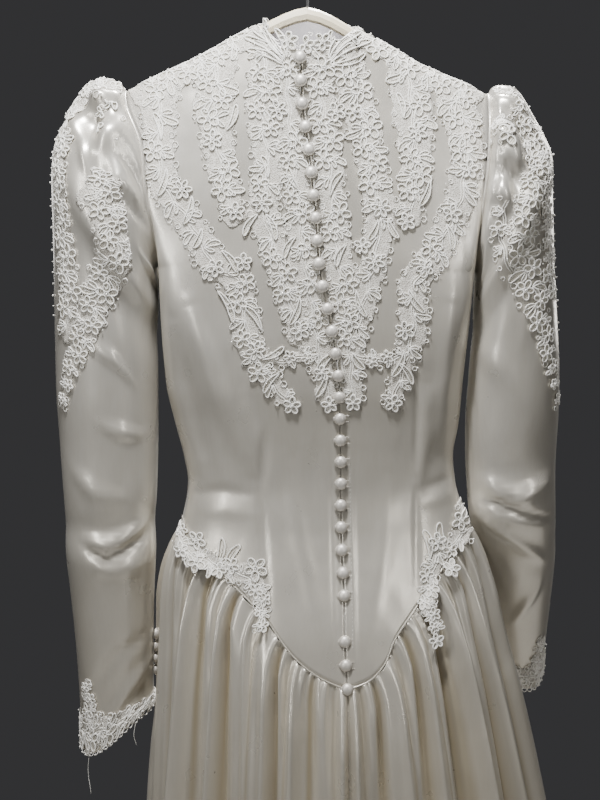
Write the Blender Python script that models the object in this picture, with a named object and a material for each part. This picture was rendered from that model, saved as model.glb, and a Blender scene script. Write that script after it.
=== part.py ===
"""A wedding dress hung on a slim moulded hanger, with a gathered skirt and corded lace.

Metres, +Z up. The origin is the inside top of the hanger's hook. The dress faces -Y, so the
buttoned back faces +Y, and the wearer's left is +X.
"""

import math
from collections import namedtuple

import bpy
import numpy as np

MM = 0.001
LEFT, RIGHT = 1, -1
BACK, FRONT = 1, -1

# Cloth walls and the gaps between pieces
BODICE_WALL = 1.5 * MM
SKIRT_WALL = 1.2 * MM
SLEEVE_WALL = 1.2 * MM
SEAM_GAP = 0.3 * MM
EDGE_GAP = 0.5 * MM
WAIST_GAP = 0.8 * MM
ARMHOLE_GAP = 0.8 * MM

# Corded lace: its lift off the cloth, its net, and how far its motifs stand up from the net
LACE_LIFT = 0.35 * MM
LACE_NET = 0.7 * MM
LACE_RELIEF = 1.6 * MM
LACE_DOME = 12 * MM
LACE_LOBE = 2.6 * MM
LACE_LOBE_PITCH = 27 * MM

# The body by height: centre back line, left and right edges, and half depths behind and in front
BodyRow = namedtuple("BodyRow", "z centre left right back front")
BODY = [
    BodyRow(-1.620, -0.060, 0.195, -0.350, 0.230, 0.190),
    BodyRow(-1.200, -0.050, 0.170, -0.295, 0.160, 0.140),
    BodyRow(-0.907, -0.043, 0.153, -0.243, 0.115, 0.103),
    BodyRow(-0.776, -0.041, 0.149, -0.215, 0.094, 0.088),
    BodyRow(-0.710, -0.038, 0.1455, -0.197, 0.080, 0.078),
    BodyRow(-0.660, -0.037, 0.144, -0.186, 0.064, 0.068),
    BodyRow(-0.625, -0.035, 0.137, -0.177, 0.054, 0.060),
    BodyRow(-0.604, -0.0345, 0.130, -0.167, 0.050, 0.055),
    BodyRow(-0.562, -0.034, 0.123, -0.153, 0.046, 0.052),
    BodyRow(-0.536, -0.034, 0.127, -0.1505, 0.047, 0.055),
    BodyRow(-0.500, -0.033, 0.136, -0.156, 0.050, 0.062),
    BodyRow(-0.460, -0.032, 0.1445, -0.159, 0.055, 0.073),
    BodyRow(-0.400, -0.024, 0.148, -0.1635, 0.058, 0.084),
    BodyRow(-0.340, -0.012, 0.149, -0.1675, 0.058, 0.087),
    BodyRow(-0.310, -0.0095, 0.1515, -0.170, 0.056, 0.083),
    BodyRow(-0.273, -0.0065, 0.159, -0.1745, 0.054, 0.076),
    BodyRow(-0.226, -0.0015, 0.1625, -0.179, 0.050, 0.068),
    BodyRow(-0.168, 0.006, 0.182, -0.181, 0.046, 0.062),
    BodyRow(-0.080, 0.008, 0.182, -0.181, 0.045, 0.058),
]
BODY_SQUARENESS = 2.2
ARMPIT_SQUARENESS = 5.0
ARMPIT_TALL = 0.05

# Shoulder seams, from the neck point out to the tip
ShoulderRow = namedtuple("ShoulderRow", "x z")
SHOULDERS = {
    LEFT: [ShoulderRow(0.049, -0.1025), ShoulderRow(0.107, -0.1345), ShoulderRow(0.182, -0.168)],
    RIGHT: [ShoulderRow(-0.0485, -0.1055), ShoulderRow(-0.1125, -0.143), ShoulderRow(-0.181, -0.171)],
}

# The neck edge at its middle: place, how far out it stands, and how sharply it climbs to the shoulders
Neck = namedtuple("Neck", "x z out power")
NECK = {BACK: Neck(0.008, -0.131, 0.045, 3.0), FRONT: Neck(0.0, -0.091, 0.058, 2.0)}

# Armholes: the lowest point, and how far the opening reaches behind and in front
ARMHOLE_BOTTOM = {LEFT: -0.3393, RIGHT: -0.345}
ARMHOLE_REACH = {BACK: 0.045, FRONT: 0.050}

# The pointed waist seam, by share of the width from the middle to the side
WaistRow = namedtuple("WaistRow", "share left right")
WAIST_BACK = [
    WaistRow(0.00, -0.757, -0.757),
    WaistRow(0.13, -0.747, -0.749),
    WaistRow(0.24, -0.733, -0.732),
    WaistRow(0.31, -0.720, -0.711),
    WaistRow(0.43, -0.691, -0.688),
    WaistRow(0.70, -0.648, -0.644),
    WaistRow(1.00, -0.612, -0.608),
]
WAIST_FRONT = [
    WaistRow(0.00, -0.745, -0.745),
    WaistRow(0.15, -0.735, -0.734),
    WaistRow(0.45, -0.689, -0.685),
    WaistRow(1.00, -0.612, -0.608),
]

# Cloth falls from the shoulder: how soon it reaches the body's depth
FALL_LENGTH = 0.07
FALL_POWER = 0.5

# The bust, on the front only
BUST_X = 0.078
BUST_Z = -0.335
BUST_OUT = 0.011
BUST_WIDE = 0.050
BUST_TALL = 0.062

# Where the bodice's columns and rows lie. Shares are read off the body at one height
SHARE_HEIGHT = -0.10
FRONT_MIDDLE_OVER = 0.2
NECK_SHARE = {LEFT: 0.235, RIGHT: 0.300}
NECK_COLUMNS = (0.0, 0.36, 0.70, 0.90)
SIDE_COLUMNS = (0.0, 0.17, 0.35, 0.54, 0.73, 0.90, 1.0)
ARMPIT_ROW = 9
BODICE_ROWS = (
    0.0, 0.016, 0.05, 0.09, 0.135, 0.18, 0.23, 0.28, 0.33, 0.386, 0.45, 0.52, 0.62, 0.74, 0.87, 1.0,
)

# The skirt: folds in each quarter, rows down it, and its folds' depth by share of the length
FOLD_COLUMNS = 4
SKIRT_FOLDS = {BACK: 11, FRONT: 9}
HEM = {BACK: -1.615, FRONT: -1.580}
FoldRow = namedtuple("FoldRow", "share gather fold")
FOLD_DEPTH = [
    FoldRow(0.00, 1.4 * MM, 0.0),
    FoldRow(0.03, 4.0 * MM, 0.5 * MM),
    FoldRow(0.09, 5.0 * MM, 2.0 * MM),
    FoldRow(0.20, 5.5 * MM, 6.0 * MM),
    FoldRow(0.38, 5.5 * MM, 11.0 * MM),
    FoldRow(0.65, 5.0 * MM, 17.0 * MM),
    FoldRow(1.00, 6.0 * MM, 22.0 * MM),
]
FOLD_UNEVEN = 0.35
FOLD_UNEVEN_TURN = 2.4
FOLD_LEAN = 0.6
RING_STEP = 0.004
RING_END = 0.005

# Sleeves, a row for each section from armhole to cuff: its outer and inner points seen from
# behind, the middle's depth, the half depth, and how far the section swings forward
SleeveRow = namedtuple("SleeveRow", "outer_x outer_z inner_x inner_z mid_y half swing")
SLEEVES = {
    LEFT: [
        SleeveRow(0.1825, -0.1676, 0.1500, -0.3393, 0.000, 0.0475, 0),
        SleeveRow(0.1930, -0.1605, 0.1525, -0.3425, 0.000, 0.0560, 0),
        SleeveRow(0.2085, -0.1612, 0.1535, -0.3480, 0.000, 0.0620, 0),
        SleeveRow(0.2260, -0.1740, 0.1530, -0.3570, 0.000, 0.0650, 0),
        SleeveRow(0.2420, -0.1960, 0.1520, -0.3680, 0.000, 0.0650, 0),
        SleeveRow(0.2535, -0.2230, 0.1515, -0.3830, 0.000, 0.0630, 0),
        SleeveRow(0.2568, -0.2600, 0.1515, -0.4010, 0.000, 0.0590, 0),
        SleeveRow(0.2567, -0.3150, 0.1520, -0.4300, -0.001, 0.0540, 0),
        SleeveRow(0.2572, -0.3850, 0.1527, -0.4640, -0.002, 0.0500, 0),
        SleeveRow(0.2574, -0.4600, 0.1533, -0.5050, -0.003, 0.0470, 0),
        SleeveRow(0.2548, -0.5250, 0.1545, -0.5450, -0.004, 0.0440, 2),
        SleeveRow(0.2520, -0.5880, 0.1562, -0.5880, -0.004, 0.0420, 4),
        SleeveRow(0.2512, -0.6300, 0.1580, -0.6280, -0.006, 0.0410, 6),
        SleeveRow(0.2477, -0.6900, 0.1609, -0.6890, -0.012, 0.0390, 6),
        SleeveRow(0.2442, -0.7500, 0.1626, -0.7480, -0.018, 0.0370, 6),
        SleeveRow(0.2426, -0.8050, 0.1634, -0.7900, -0.024, 0.0350, 6),
        SleeveRow(0.2424, -0.8400, 0.1640, -0.8080, -0.027, 0.0340, 6),
    ],
    RIGHT: [
        SleeveRow(-0.1815, -0.1706, -0.1680, -0.3450, 0.000, 0.0475, 0),
        SleeveRow(-0.1900, -0.1640, -0.1702, -0.3480, 0.000, 0.0560, 0),
        SleeveRow(-0.2040, -0.1665, -0.1710, -0.3530, 0.000, 0.0610, 0),
        SleeveRow(-0.2210, -0.1850, -0.1705, -0.3620, 0.000, 0.0630, 0),
        SleeveRow(-0.2360, -0.2080, -0.1700, -0.3740, -0.001, 0.0620, 0),
        SleeveRow(-0.2455, -0.2370, -0.1695, -0.3880, -0.002, 0.0600, 0),
        SleeveRow(-0.2475, -0.2740, -0.1688, -0.4060, -0.003, 0.0570, 0),
        SleeveRow(-0.2500, -0.3250, -0.1675, -0.4300, -0.005, 0.0530, 0),
        SleeveRow(-0.2545, -0.3850, -0.1660, -0.4600, -0.007, 0.0500, 0),
        SleeveRow(-0.2595, -0.4600, -0.1640, -0.4980, -0.010, 0.0470, 2),
        SleeveRow(-0.2600, -0.5250, -0.1640, -0.5400, -0.014, 0.0440, 4),
        SleeveRow(-0.2590, -0.5850, -0.1690, -0.5850, -0.020, 0.0420, 8),
        SleeveRow(-0.2632, -0.6150, -0.1740, -0.6200, -0.034, 0.0410, 18),
        SleeveRow(-0.2670, -0.6500, -0.1790, -0.6550, -0.055, 0.0400, 28),
        SleeveRow(-0.2685, -0.6900, -0.1830, -0.6950, -0.080, 0.0390, 32),
        SleeveRow(-0.2690, -0.7390, -0.1870, -0.7400, -0.108, 0.0370, 32),
        SleeveRow(-0.2690, -0.7900, -0.1900, -0.7780, -0.137, 0.0345, 32),
    ],
}
SLEEVE_COLUMNS = 24
SLEEVE_ROWS = 19
ARMHOLE_FADE = 1.0
PLEAT_DEPTH = 3.6 * MM
PLEAT_SPAN = 4.2
PLEAT_AT_SEAM = 0.25
PLEAT_ROUND = 0.2
CUFF_POINT = 0.020
CUFF_POINT_ANGLE = 50

# Sleeve folds: the section and angle of the middle, how far it runs each way, and its height
SleeveFold = namedtuple("SleeveFold", "row angle rows angles rise")
SLEEVE_FOLDS = {
    LEFT: [
        SleeveFold(3.2, 40, 0.8, 40, -6 * MM),
        SleeveFold(5.2, 95, 0.7, 50, 4 * MM),
        SleeveFold(6.4, 130, 0.8, 60, -4 * MM),
        SleeveFold(11.4, 100, 0.45, 75, -5 * MM),
        SleeveFold(12.2, 100, 0.45, 75, 3 * MM),
        SleeveFold(14.6, 120, 0.6, 50, -3 * MM),
    ],
    RIGHT: [
        SleeveFold(3.4, 60, 0.7, 50, -6 * MM),
        SleeveFold(4.6, 80, 0.6, 60, 4 * MM),
        SleeveFold(6.2, 120, 0.8, 60, -4 * MM),
        SleeveFold(10.2, 90, 0.5, 75, -5 * MM),
        SleeveFold(11.2, 90, 0.5, 75, 4 * MM),
        SleeveFold(12.4, 100, 0.5, 70, -4 * MM),
    ],
}

# Lace strokes seen from behind: places along each motif's stem and its half width there
Stroke = namedtuple("Stroke", "x z half")
LACE_BACK = {
    LEFT: [
        [Stroke(0.006, -0.128, 0.012), Stroke(0.030, -0.121, 0.012), Stroke(0.050, -0.108, 0.014)],
        [Stroke(0.050, -0.108, 0.014), Stroke(0.103, -0.138, 0.018), Stroke(0.160, -0.165, 0.020)],
        [Stroke(0.145, -0.165, 0.024), Stroke(0.146, -0.215, 0.018), Stroke(0.143, -0.258, 0.018),
         Stroke(0.119, -0.289, 0.017), Stroke(0.090, -0.340, 0.017), Stroke(0.066, -0.352, 0.016),
         Stroke(0.058, -0.411, 0.017), Stroke(0.042, -0.446, 0.014), Stroke(0.016, -0.476, 0.010)],
        [Stroke(0.088, -0.135, 0.022), Stroke(0.091, -0.180, 0.023), Stroke(0.086, -0.230, 0.018),
         Stroke(0.072, -0.289, 0.014)],
        [Stroke(0.040, -0.125, 0.018), Stroke(0.043, -0.190, 0.019), Stroke(0.038, -0.236, 0.017),
         Stroke(0.043, -0.285, 0.018), Stroke(0.027, -0.337, 0.016), Stroke(0.006, -0.407, 0.015)],
        [Stroke(0.021, -0.140, 0.015), Stroke(0.016, -0.207, 0.016), Stroke(0.004, -0.323, 0.016),
         Stroke(-0.008, -0.400, 0.017), Stroke(-0.020, -0.468, 0.012)],
        [Stroke(0.058, -0.425, 0.008), Stroke(0.025, -0.432, 0.008), Stroke(-0.008, -0.425, 0.008)],
    ],
    RIGHT: [
        [Stroke(0.006, -0.128, 0.012), Stroke(-0.022, -0.123, 0.012), Stroke(-0.048, -0.111, 0.014)],
        [Stroke(-0.048, -0.111, 0.014), Stroke(-0.112, -0.146, 0.018), Stroke(-0.159, -0.169, 0.020)],
        [Stroke(-0.147, -0.169, 0.024), Stroke(-0.157, -0.227, 0.018), Stroke(-0.150, -0.275, 0.018),
         Stroke(-0.130, -0.318, 0.017), Stroke(-0.104, -0.355, 0.017), Stroke(-0.105, -0.401, 0.017),
         Stroke(-0.096, -0.436, 0.014), Stroke(-0.084, -0.476, 0.010)],
        [Stroke(-0.098, -0.141, 0.022), Stroke(-0.103, -0.189, 0.023), Stroke(-0.107, -0.236, 0.018),
         Stroke(-0.101, -0.292, 0.014)],
        [Stroke(-0.036, -0.128, 0.018), Stroke(-0.052, -0.190, 0.019), Stroke(-0.062, -0.236, 0.017),
         Stroke(-0.072, -0.285, 0.018), Stroke(-0.066, -0.334, 0.016), Stroke(-0.047, -0.406, 0.015)],
        [Stroke(-0.010, -0.140, 0.015), Stroke(-0.018, -0.207, 0.016), Stroke(-0.030, -0.323, 0.016),
         Stroke(-0.040, -0.400, 0.017), Stroke(-0.046, -0.470, 0.012)],
        [Stroke(-0.102, -0.425, 0.008), Stroke(-0.072, -0.432, 0.008), Stroke(-0.042, -0.425, 0.008)],
    ],
}
LACE_FRONT_HALF = [
    [Stroke(0.0, -0.101, 0.010), Stroke(0.030, -0.104, 0.012), Stroke(0.052, -0.110, 0.014)],
    [Stroke(0.052, -0.110, 0.014), Stroke(0.107, -0.142, 0.018), Stroke(0.160, -0.165, 0.020)],
    [Stroke(0.150, -0.170, 0.022), Stroke(0.146, -0.215, 0.018), Stroke(0.138, -0.270, 0.014)],
    [Stroke(0.092, -0.140, 0.022), Stroke(0.094, -0.190, 0.022), Stroke(0.088, -0.262, 0.015)],
    [Stroke(0.044, -0.115, 0.020), Stroke(0.046, -0.190, 0.020), Stroke(0.040, -0.290, 0.014)],
    [Stroke(0.0, -0.110, 0.016), Stroke(0.0, -0.200, 0.018), Stroke(0.0, -0.320, 0.014)],
]
LACE_HIP = {
    LEFT: [
        [Stroke(0.130, -0.603, 0.011), Stroke(0.098, -0.620, 0.013), Stroke(0.066, -0.632, 0.015),
         Stroke(0.046, -0.650, 0.015), Stroke(0.040, -0.680, 0.010)],
    ],
    RIGHT: [
        [Stroke(-0.168, -0.596, 0.011), Stroke(-0.146, -0.606, 0.014), Stroke(-0.122, -0.628, 0.014),
         Stroke(-0.110, -0.655, 0.013), Stroke(-0.104, -0.678, 0.010)],
    ],
}

# Lace round a sleeve's cap: how far it reaches round from the outer line, by section, over which
# of the sleeve's rows, and the radius that turns angles into reach
CAP_ROWS = 12
CAP_ROUND = 0.058
CAP_LOBES = 1.1
NO_LACE = -0.01
CapRow = namedtuple("CapRow", "row reach")
LACE_CAP = [
    CapRow(0.6, 0.050),
    CapRow(2.5, 0.062),
    CapRow(4.0, 0.060),
    CapRow(5.5, 0.074),
    CapRow(6.5, 0.062),
    CapRow(7.6, 0.036),
    CapRow(8.6, 0.012),
    CapRow(9.0, -0.010),
]
CUFF_ROWS = 3
LACE_CUFF_LOW = 0.013
LACE_CUFF_HIGH = 0.044
LACE_CUFF_SCALLOP = 0.005
LACE_CUFF_SCALLOPS = 6

# Covered buttons
BUTTON_RADIUS = 6.2 * MM
BUTTON_DOME = 4.2 * MM
BUTTON_EDGE = 1.6 * MM
BUTTON_SIDES = 8
BUTTON_FOOT = 0.86
BUTTON_LIFT = 0.45 * MM
BACK_BUTTON_FIRST = -0.138
BACK_BUTTON_LAST = -0.7545
BACK_BUTTON_PLACES = 29
LOST_BUTTON = 25
CUFF_BUTTONS = 4
CUFF_BUTTON_FIRST = 0.038
CUFF_BUTTON_PITCH = 0.0135
CUFF_BUTTON_LIFT = LACE_LIFT + 0.3 * MM
SEAT_COLUMNS = 4
SEAT_FINER = 8

# Hanger and hook
HANGER_TOP = -0.0851
HANGER_TALL = 0.014
HANGER_DEEP = 0.009
HANGER_END = 0.170
HANGER_NECK = 0.049
HANGER_BEND = 0.036
HANGER_ARCH = 1.5
HANGER_CLEAR = 0.7 * MM
HANGER_LOWER = 1.15 * (BODICE_WALL + HANGER_CLEAR)
HANGER_TAPER = 0.45
HANGER_TAPER_FROM = 0.12
HANGER_ARM_ROWS = 6
HANGER_ARCH_ROWS = 7
HANGER_SIDES = 8
HOOK_WIRE = 3.6 * MM
HOOK_INSIDE = 0.018
HOOK_SIDES = 6
HOOK_TURNS = (200, -50, 13)
HOOK_STEM_TOP = (0.0, -0.050)
HOOK_STEM_SHARES = (0.45, 0.85)
HOOK_STEM = [(0.0, -0.056), (0.0, -0.070), (0.0, HANGER_TOP + SEAM_GAP)]

IVORY = (0.86, 0.84, 0.79)
LACE_WHITE = (0.90, 0.885, 0.84)
HANGER_CREAM = (0.80, 0.74, 0.60)
STEEL = (0.75, 0.75, 0.76)


def cubic(xs, ys, at):
    """Values at `at` of a smooth curve through the points, which never overshoots them."""
    xs, ys, at = (np.asarray(each, float) for each in (xs, ys, at))
    steps = np.diff(xs)
    slopes = np.diff(ys) / steps
    tangents = np.concatenate([slopes[:1], np.zeros(len(xs) - 2), slopes[-1:]])
    product = slopes[:-1] * slopes[1:]
    inner = product > 0
    tangents[1:-1][inner] = 2 * product[inner] / (slopes[:-1] + slopes[1:])[inner]
    i = np.clip(np.searchsorted(xs, at) - 1, 0, len(xs) - 2)
    t = np.clip((at - xs[i]) / steps[i], 0, 1)
    h = steps[i]
    return (
        ys[i] * (1 + 2 * t) * (1 - t) ** 2
        + tangents[i] * h * t * (1 - t) ** 2
        + ys[i + 1] * t * t * (3 - 2 * t)
        + tangents[i + 1] * h * t * t * (t - 1)
    )


def column(table, by, name, at):
    """A named column of a table, as a smooth curve over another of its columns."""
    return cubic([getattr(row, by) for row in table], [getattr(row, name) for row in table], at)


def body(name, z):
    return column(BODY, "z", name, z)


def edge_name(side):
    return "left" if side == LEFT else "right"


def depth_name(facing):
    return "back" if facing == BACK else "front"


def waist_height(side, share, facing):
    table = WAIST_BACK if facing == BACK else WAIST_FRONT
    return column(table, "share", edge_name(side), share)


def centre_line(z, facing):
    """The back's middle leans with the buttons. The front's moves to half way across."""
    if facing == BACK:
        return body("centre", z)
    lean = np.clip((SHARE_HEIGHT - z) / FRONT_MIDDLE_OVER, 0, 1)
    return (body("left", z) + body("right", z)) / 2 * lean


def across(side, share, z, facing):
    """x at a share of the way from the middle line to the side."""
    centre = centre_line(z, facing)
    return centre + (body(edge_name(side), z) - centre) * share


def armhole_reach(side, z, facing):
    """How far the armhole's edge stands behind or in front of the side, at a height."""
    top = SHOULDERS[side][-1].z
    middle = (top + ARMHOLE_BOTTOM[side]) / 2
    half = (top - ARMHOLE_BOTTOM[side]) / 2
    return ARMHOLE_REACH[facing] * np.sqrt(np.clip(1 - ((z - middle) / half) ** 2, 0, 1))


def body_depth(side, x, z, facing):
    """How far the body's surface stands out from y = 0, before the fall from the shoulders."""
    left, right = body("left", z), body("right", z)
    place = np.abs((x - (left + right) / 2) / ((left - right) / 2))
    off_armpit = np.abs(z - ARMHOLE_BOTTOM[side]) / ARMPIT_TALL
    square = BODY_SQUARENESS + ARMPIT_SQUARENESS * np.exp(-off_armpit)
    bow = np.clip(1 - place**square, 0, 1) ** (1 / square)
    reach = armhole_reach(side, z, facing)
    depth = reach + (body(depth_name(facing), z) - reach) * bow
    if facing == FRONT:
        middle = (left + right) / 2
        wide = np.exp(-(((np.abs(x - middle) - BUST_X) / BUST_WIDE) ** 2))
        depth = depth + BUST_OUT * wide * np.exp(-(((z - BUST_Z) / BUST_TALL) ** 2))
    return depth


def top_edge(side, x, facing):
    """Height and outward place of the neck or shoulder edge at x."""
    line = SHOULDERS[side]
    neck = NECK[facing]
    along = np.clip((x - neck.x) / (line[0].x - neck.x), 0, 1)
    shoulder = np.interp(x * side, [row.x * side for row in line], [row.z for row in line])
    on_neck = along < 1
    height = np.where(on_neck, neck.z + (line[0].z - neck.z) * along**neck.power, shoulder)
    out = np.where(on_neck, neck.out * np.sqrt(1 - along**2), 0)
    return height, out


def bodice_shares(side):
    """Column places: those on the neck, then those from the neck point to the side."""
    neck = NECK_SHARE[side]
    beyond = [neck + (1 - neck) * place for place in SIDE_COLUMNS]
    return [neck * place for place in NECK_COLUMNS] + beyond


def bodice_half(side, facing):
    """Outer points of half a bodice, rows from the neck and shoulder down to the waist."""
    shares = np.array(bodice_shares(side))
    top_x = across(side, shares, np.full_like(shares, SHARE_HEIGHT), facing)
    top, out = top_edge(side, top_x, facing)
    bottom = waist_height(side, shares, facing) + WAIST_GAP / 2
    grid = np.zeros((len(BODICE_ROWS), len(shares), 3))
    for row, share_down in enumerate(BODICE_ROWS):
        z = top + (bottom - top) * share_down
        x = across(side, shares, z, facing)
        fall = (1 - np.exp(-(top - z) / FALL_LENGTH)) ** FALL_POWER
        y = out + (body_depth(side, x, z, facing) - out) * fall
        grid[row] = np.stack([x, facing * np.maximum(y, EDGE_GAP / 2), z], axis=1)
    return grid


def unit(vectors):
    return vectors / np.maximum(np.linalg.norm(vectors, axis=-1, keepdims=True), 1e-12)


def grid_normals(grid, closed=False):
    """Unit normals of a grid of points, each the mean of the facets round it."""
    rows, columns = grid.shape[:2]
    triangles = np.array(cell_triangles(rows, columns, closed))
    points = grid.reshape(-1, 3)
    a, b, c = (points[triangles[:, corner]] for corner in range(3))
    facets = unit(np.cross(b - a, c - a))
    normals = np.zeros_like(points)
    for corner in range(3):
        np.add.at(normals, triangles[:, corner], facets)
    return -unit(normals).reshape(grid.shape)


def flatten(normals, rows, columns, axis):
    """Takes one axis out of some normals, so that two pieces meet squarely at a seam."""
    normals[rows, columns, axis] = 0
    normals[rows, columns] = unit(normals[rows, columns])


def material(name, colour, roughness, metallic=0.0):
    """A plain Principled material."""
    made = bpy.data.materials.get(name) or bpy.data.materials.new(name)
    made.use_nodes = True
    shader = made.node_tree.nodes["Principled BSDF"]
    shader.inputs["Base Color"].default_value = (*colour, 1)
    shader.inputs["Roughness"].default_value = roughness
    shader.inputs["Metallic"].default_value = metallic
    return made


def add_solid(name, points, faces, looks):
    """A closed mesh object, turned so that its faces look out."""
    mesh = bpy.data.meshes.new(name)
    mesh.from_pydata([tuple(point) for point in points], [], [tuple(face) for face in faces])
    mesh.update()
    mesh.calc_loop_triangles()
    triangles = [tri.vertices for tri in mesh.loop_triangles]
    corners = np.array([[mesh.vertices[i].co[:] for i in triangle] for triangle in triangles])
    if np.linalg.det(corners).sum() < 0:
        mesh.flip_normals()
    mesh.materials.append(looks)
    made = bpy.data.objects.new(name, mesh)
    bpy.context.scene.collection.objects.link(made)
    return made


def cell_triangles(rows, columns, closed):
    """Triangles of a grid's cells, every cell split along the same diagonal."""
    found = []
    for row in range(rows - 1):
        for col in range(columns if closed else columns - 1):
            right = (col + 1) % columns
            a, b = row * columns + col, row * columns + right
            c, d = (row + 1) * columns + right, (row + 1) * columns + col
            found += [(a, b, c), (a, c, d)]
    return found


def thicken(points, normals, triangles, lift, outward):
    """The slab between two lifts off a surface: `lift`, and `outward` for each point."""
    count = len(points)
    both = np.concatenate([points + normals * np.reshape(outward, (-1, 1)), points + normals * lift])
    faces = list(triangles) + [(a + count, c + count, b + count) for a, b, c in triangles]
    ends = {}
    for triangle in triangles:
        for a, b in zip(triangle, triangle[1:] + triangle[:1]):
            if (b, a) in ends:
                del ends[b, a]
            else:
                ends[a, b] = True
    for a, b in ends:
        faces += [(b, a, a + count), (b, a + count, b + count)]
    return both, faces


def wall(name, grid, normals, thickness, looks, closed=False):
    """A cloth wall with the grid as its outer face."""
    rows, columns = grid.shape[:2]
    triangles = cell_triangles(rows, columns, closed)
    flat, upright = grid.reshape(-1, 3), normals.reshape(-1, 3)
    points, faces = thicken(flat, upright, triangles, -thickness, np.zeros(len(flat)))
    return add_solid(name, points, faces, looks)


def finer(grid, by, closed=False):
    """The grid's own facets, with more points on them: nothing moves off a facet."""
    rows, columns = grid.shape[:2]
    if closed:
        grid = np.concatenate([grid, grid[:, :1]], axis=1)
    cells = columns if closed else columns - 1
    out_rows, out_columns = (rows - 1) * by + 1, cells * by + 1
    made = np.zeros((out_rows, out_columns, grid.shape[2]))
    for i in range(out_rows):
        row = min(i // by, rows - 2)
        t = i / by - row
        for j in range(out_columns):
            col = min(j // by, cells - 1)
            s = j / by - col
            a, b = grid[row, col], grid[row, col + 1]
            c, d = grid[row + 1, col + 1], grid[row + 1, col]
            if s >= t:
                made[i, j] = a + s * (b - a) + t * (c - b)
            else:
                made[i, j] = a + t * (d - a) + s * (c - d)
    return made


def largest_patch(triangles):
    """The triangles of the biggest connected patch."""
    parent = {}

    def root(i):
        while parent.setdefault(i, i) != i:
            parent[i] = parent[parent[i]]
            i = parent[i]
        return i

    for a, b, c in triangles:
        parent[root(a)] = root(b)
        parent[root(b)] = root(c)
    sizes = {}
    for triangle in triangles:
        sizes[root(triangle[0])] = sizes.get(root(triangle[0]), 0) + 1
    best = max(sizes, key=sizes.get)
    return [triangle for triangle in triangles if root(triangle[0]) == best]


def clip_to_field(points, triangles, field):
    """The part of a surface where the field is positive, cut along its edge."""
    points, kept, cuts = list(points), [], {}

    def cut(i, j):
        key = (min(i, j), max(i, j))
        if key not in cuts:
            share = np.clip(field[key[0]] / (field[key[0]] - field[key[1]]), 0.2, 0.8)
            cuts[key] = len(points)
            points.append(points[key[0]] * (1 - share) + points[key[1]] * share)
        return cuts[key]

    for triangle in triangles:
        ring = []
        for i, j in zip(triangle, triangle[1:] + triangle[:1]):
            if field[i] > 0:
                ring.append(i)
            if (field[i] > 0) != (field[j] > 0):
                ring.append(cut(i, j))
        kept += [(ring[0], ring[k], ring[k + 1]) for k in range(1, len(ring) - 1)]
    kept = largest_patch(kept)
    used = sorted({i for triangle in kept for i in triangle})
    place = {old: new for new, old in enumerate(used)}
    return np.array([points[i] for i in used]), [tuple(place[i] for i in triangle) for triangle in kept]


def lace(name, grid, normals, field, looks, finer_by=1, closed=False):
    """Lace over a panel, made from the panel's own points moved out, with domed motifs."""
    surface = finer(np.concatenate([grid, normals], axis=2), finer_by, closed)
    values = field(surface)
    rows, columns = values.shape
    joined = np.concatenate([surface, values[:, :, None]], axis=2)
    if closed:
        joined, columns = joined[:, :-1], columns - 1
    flat = joined.reshape(-1, joined.shape[2])
    kept, triangles = clip_to_field(flat, cell_triangles(rows, columns, closed), flat[:, -1])
    upright = unit(kept[:, 3:6])
    points, faces = thicken(kept[:, :3], upright, triangles, LACE_LIFT, lace_rise(kept[:, 6]))
    return add_solid(name, points, faces, looks)


def stroke_field(strokes, x, z):
    """How far inside the nearest stroke each place is, with a lobed edge."""
    best = np.full(np.shape(x), -1.0)
    for stroke in strokes:
        for start, end in zip(stroke[:-1], stroke[1:]):
            dx, dz = end.x - start.x, end.z - start.z
            along = np.clip(((x - start.x) * dx + (z - start.z) * dz) / (dx * dx + dz * dz), 0, 1)
            gap = np.hypot(x - start.x - along * dx, z - start.z - along * dz)
            best = np.maximum(best, start.half + (end.half - start.half) * along - gap)
    turn = 2 * math.pi / LACE_LOBE_PITCH
    return best + LACE_LOBE * np.sin(turn * x) * np.sin(turn * z)


def strokes_over(strokes):
    return lambda surface: stroke_field(strokes, surface[..., 0], surface[..., 2])


def build_bodice(satin, white):
    """Bodice walls with their lace, and the back halves' grids for the buttons."""
    backs = {}
    for side in (LEFT, RIGHT):
        name = edge_name(side)
        grid = bodice_half(side, BACK)
        grid[:, 0, 0] += side * SEAM_GAP / 2
        normals = grid_normals(grid) * -side
        flatten(normals, slice(None), 0, 0)
        square_seams(normals, -1, slice(len(NECK_COLUMNS), None))
        wall(f"bodice_back_{name}", grid, normals, BODICE_WALL, satin)
        lace(f"lace_back_{name}", grid, normals, strokes_over(LACE_BACK[side]), white)
        lace(f"lace_hip_{name}", grid, normals, strokes_over(LACE_HIP[side]), white, 3)
        backs[side] = (grid, normals)
    build_front(satin, white)
    return backs


def square_seams(normals, side_column, shoulder):
    """Squares the wall at a shoulder seam's columns, a side seam and the waist."""
    flatten(normals, 0, shoulder, 1)
    flatten(normals, slice(ARMPIT_ROW, None), side_column, 1)
    flatten(normals, -1, slice(None), 2)


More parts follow.
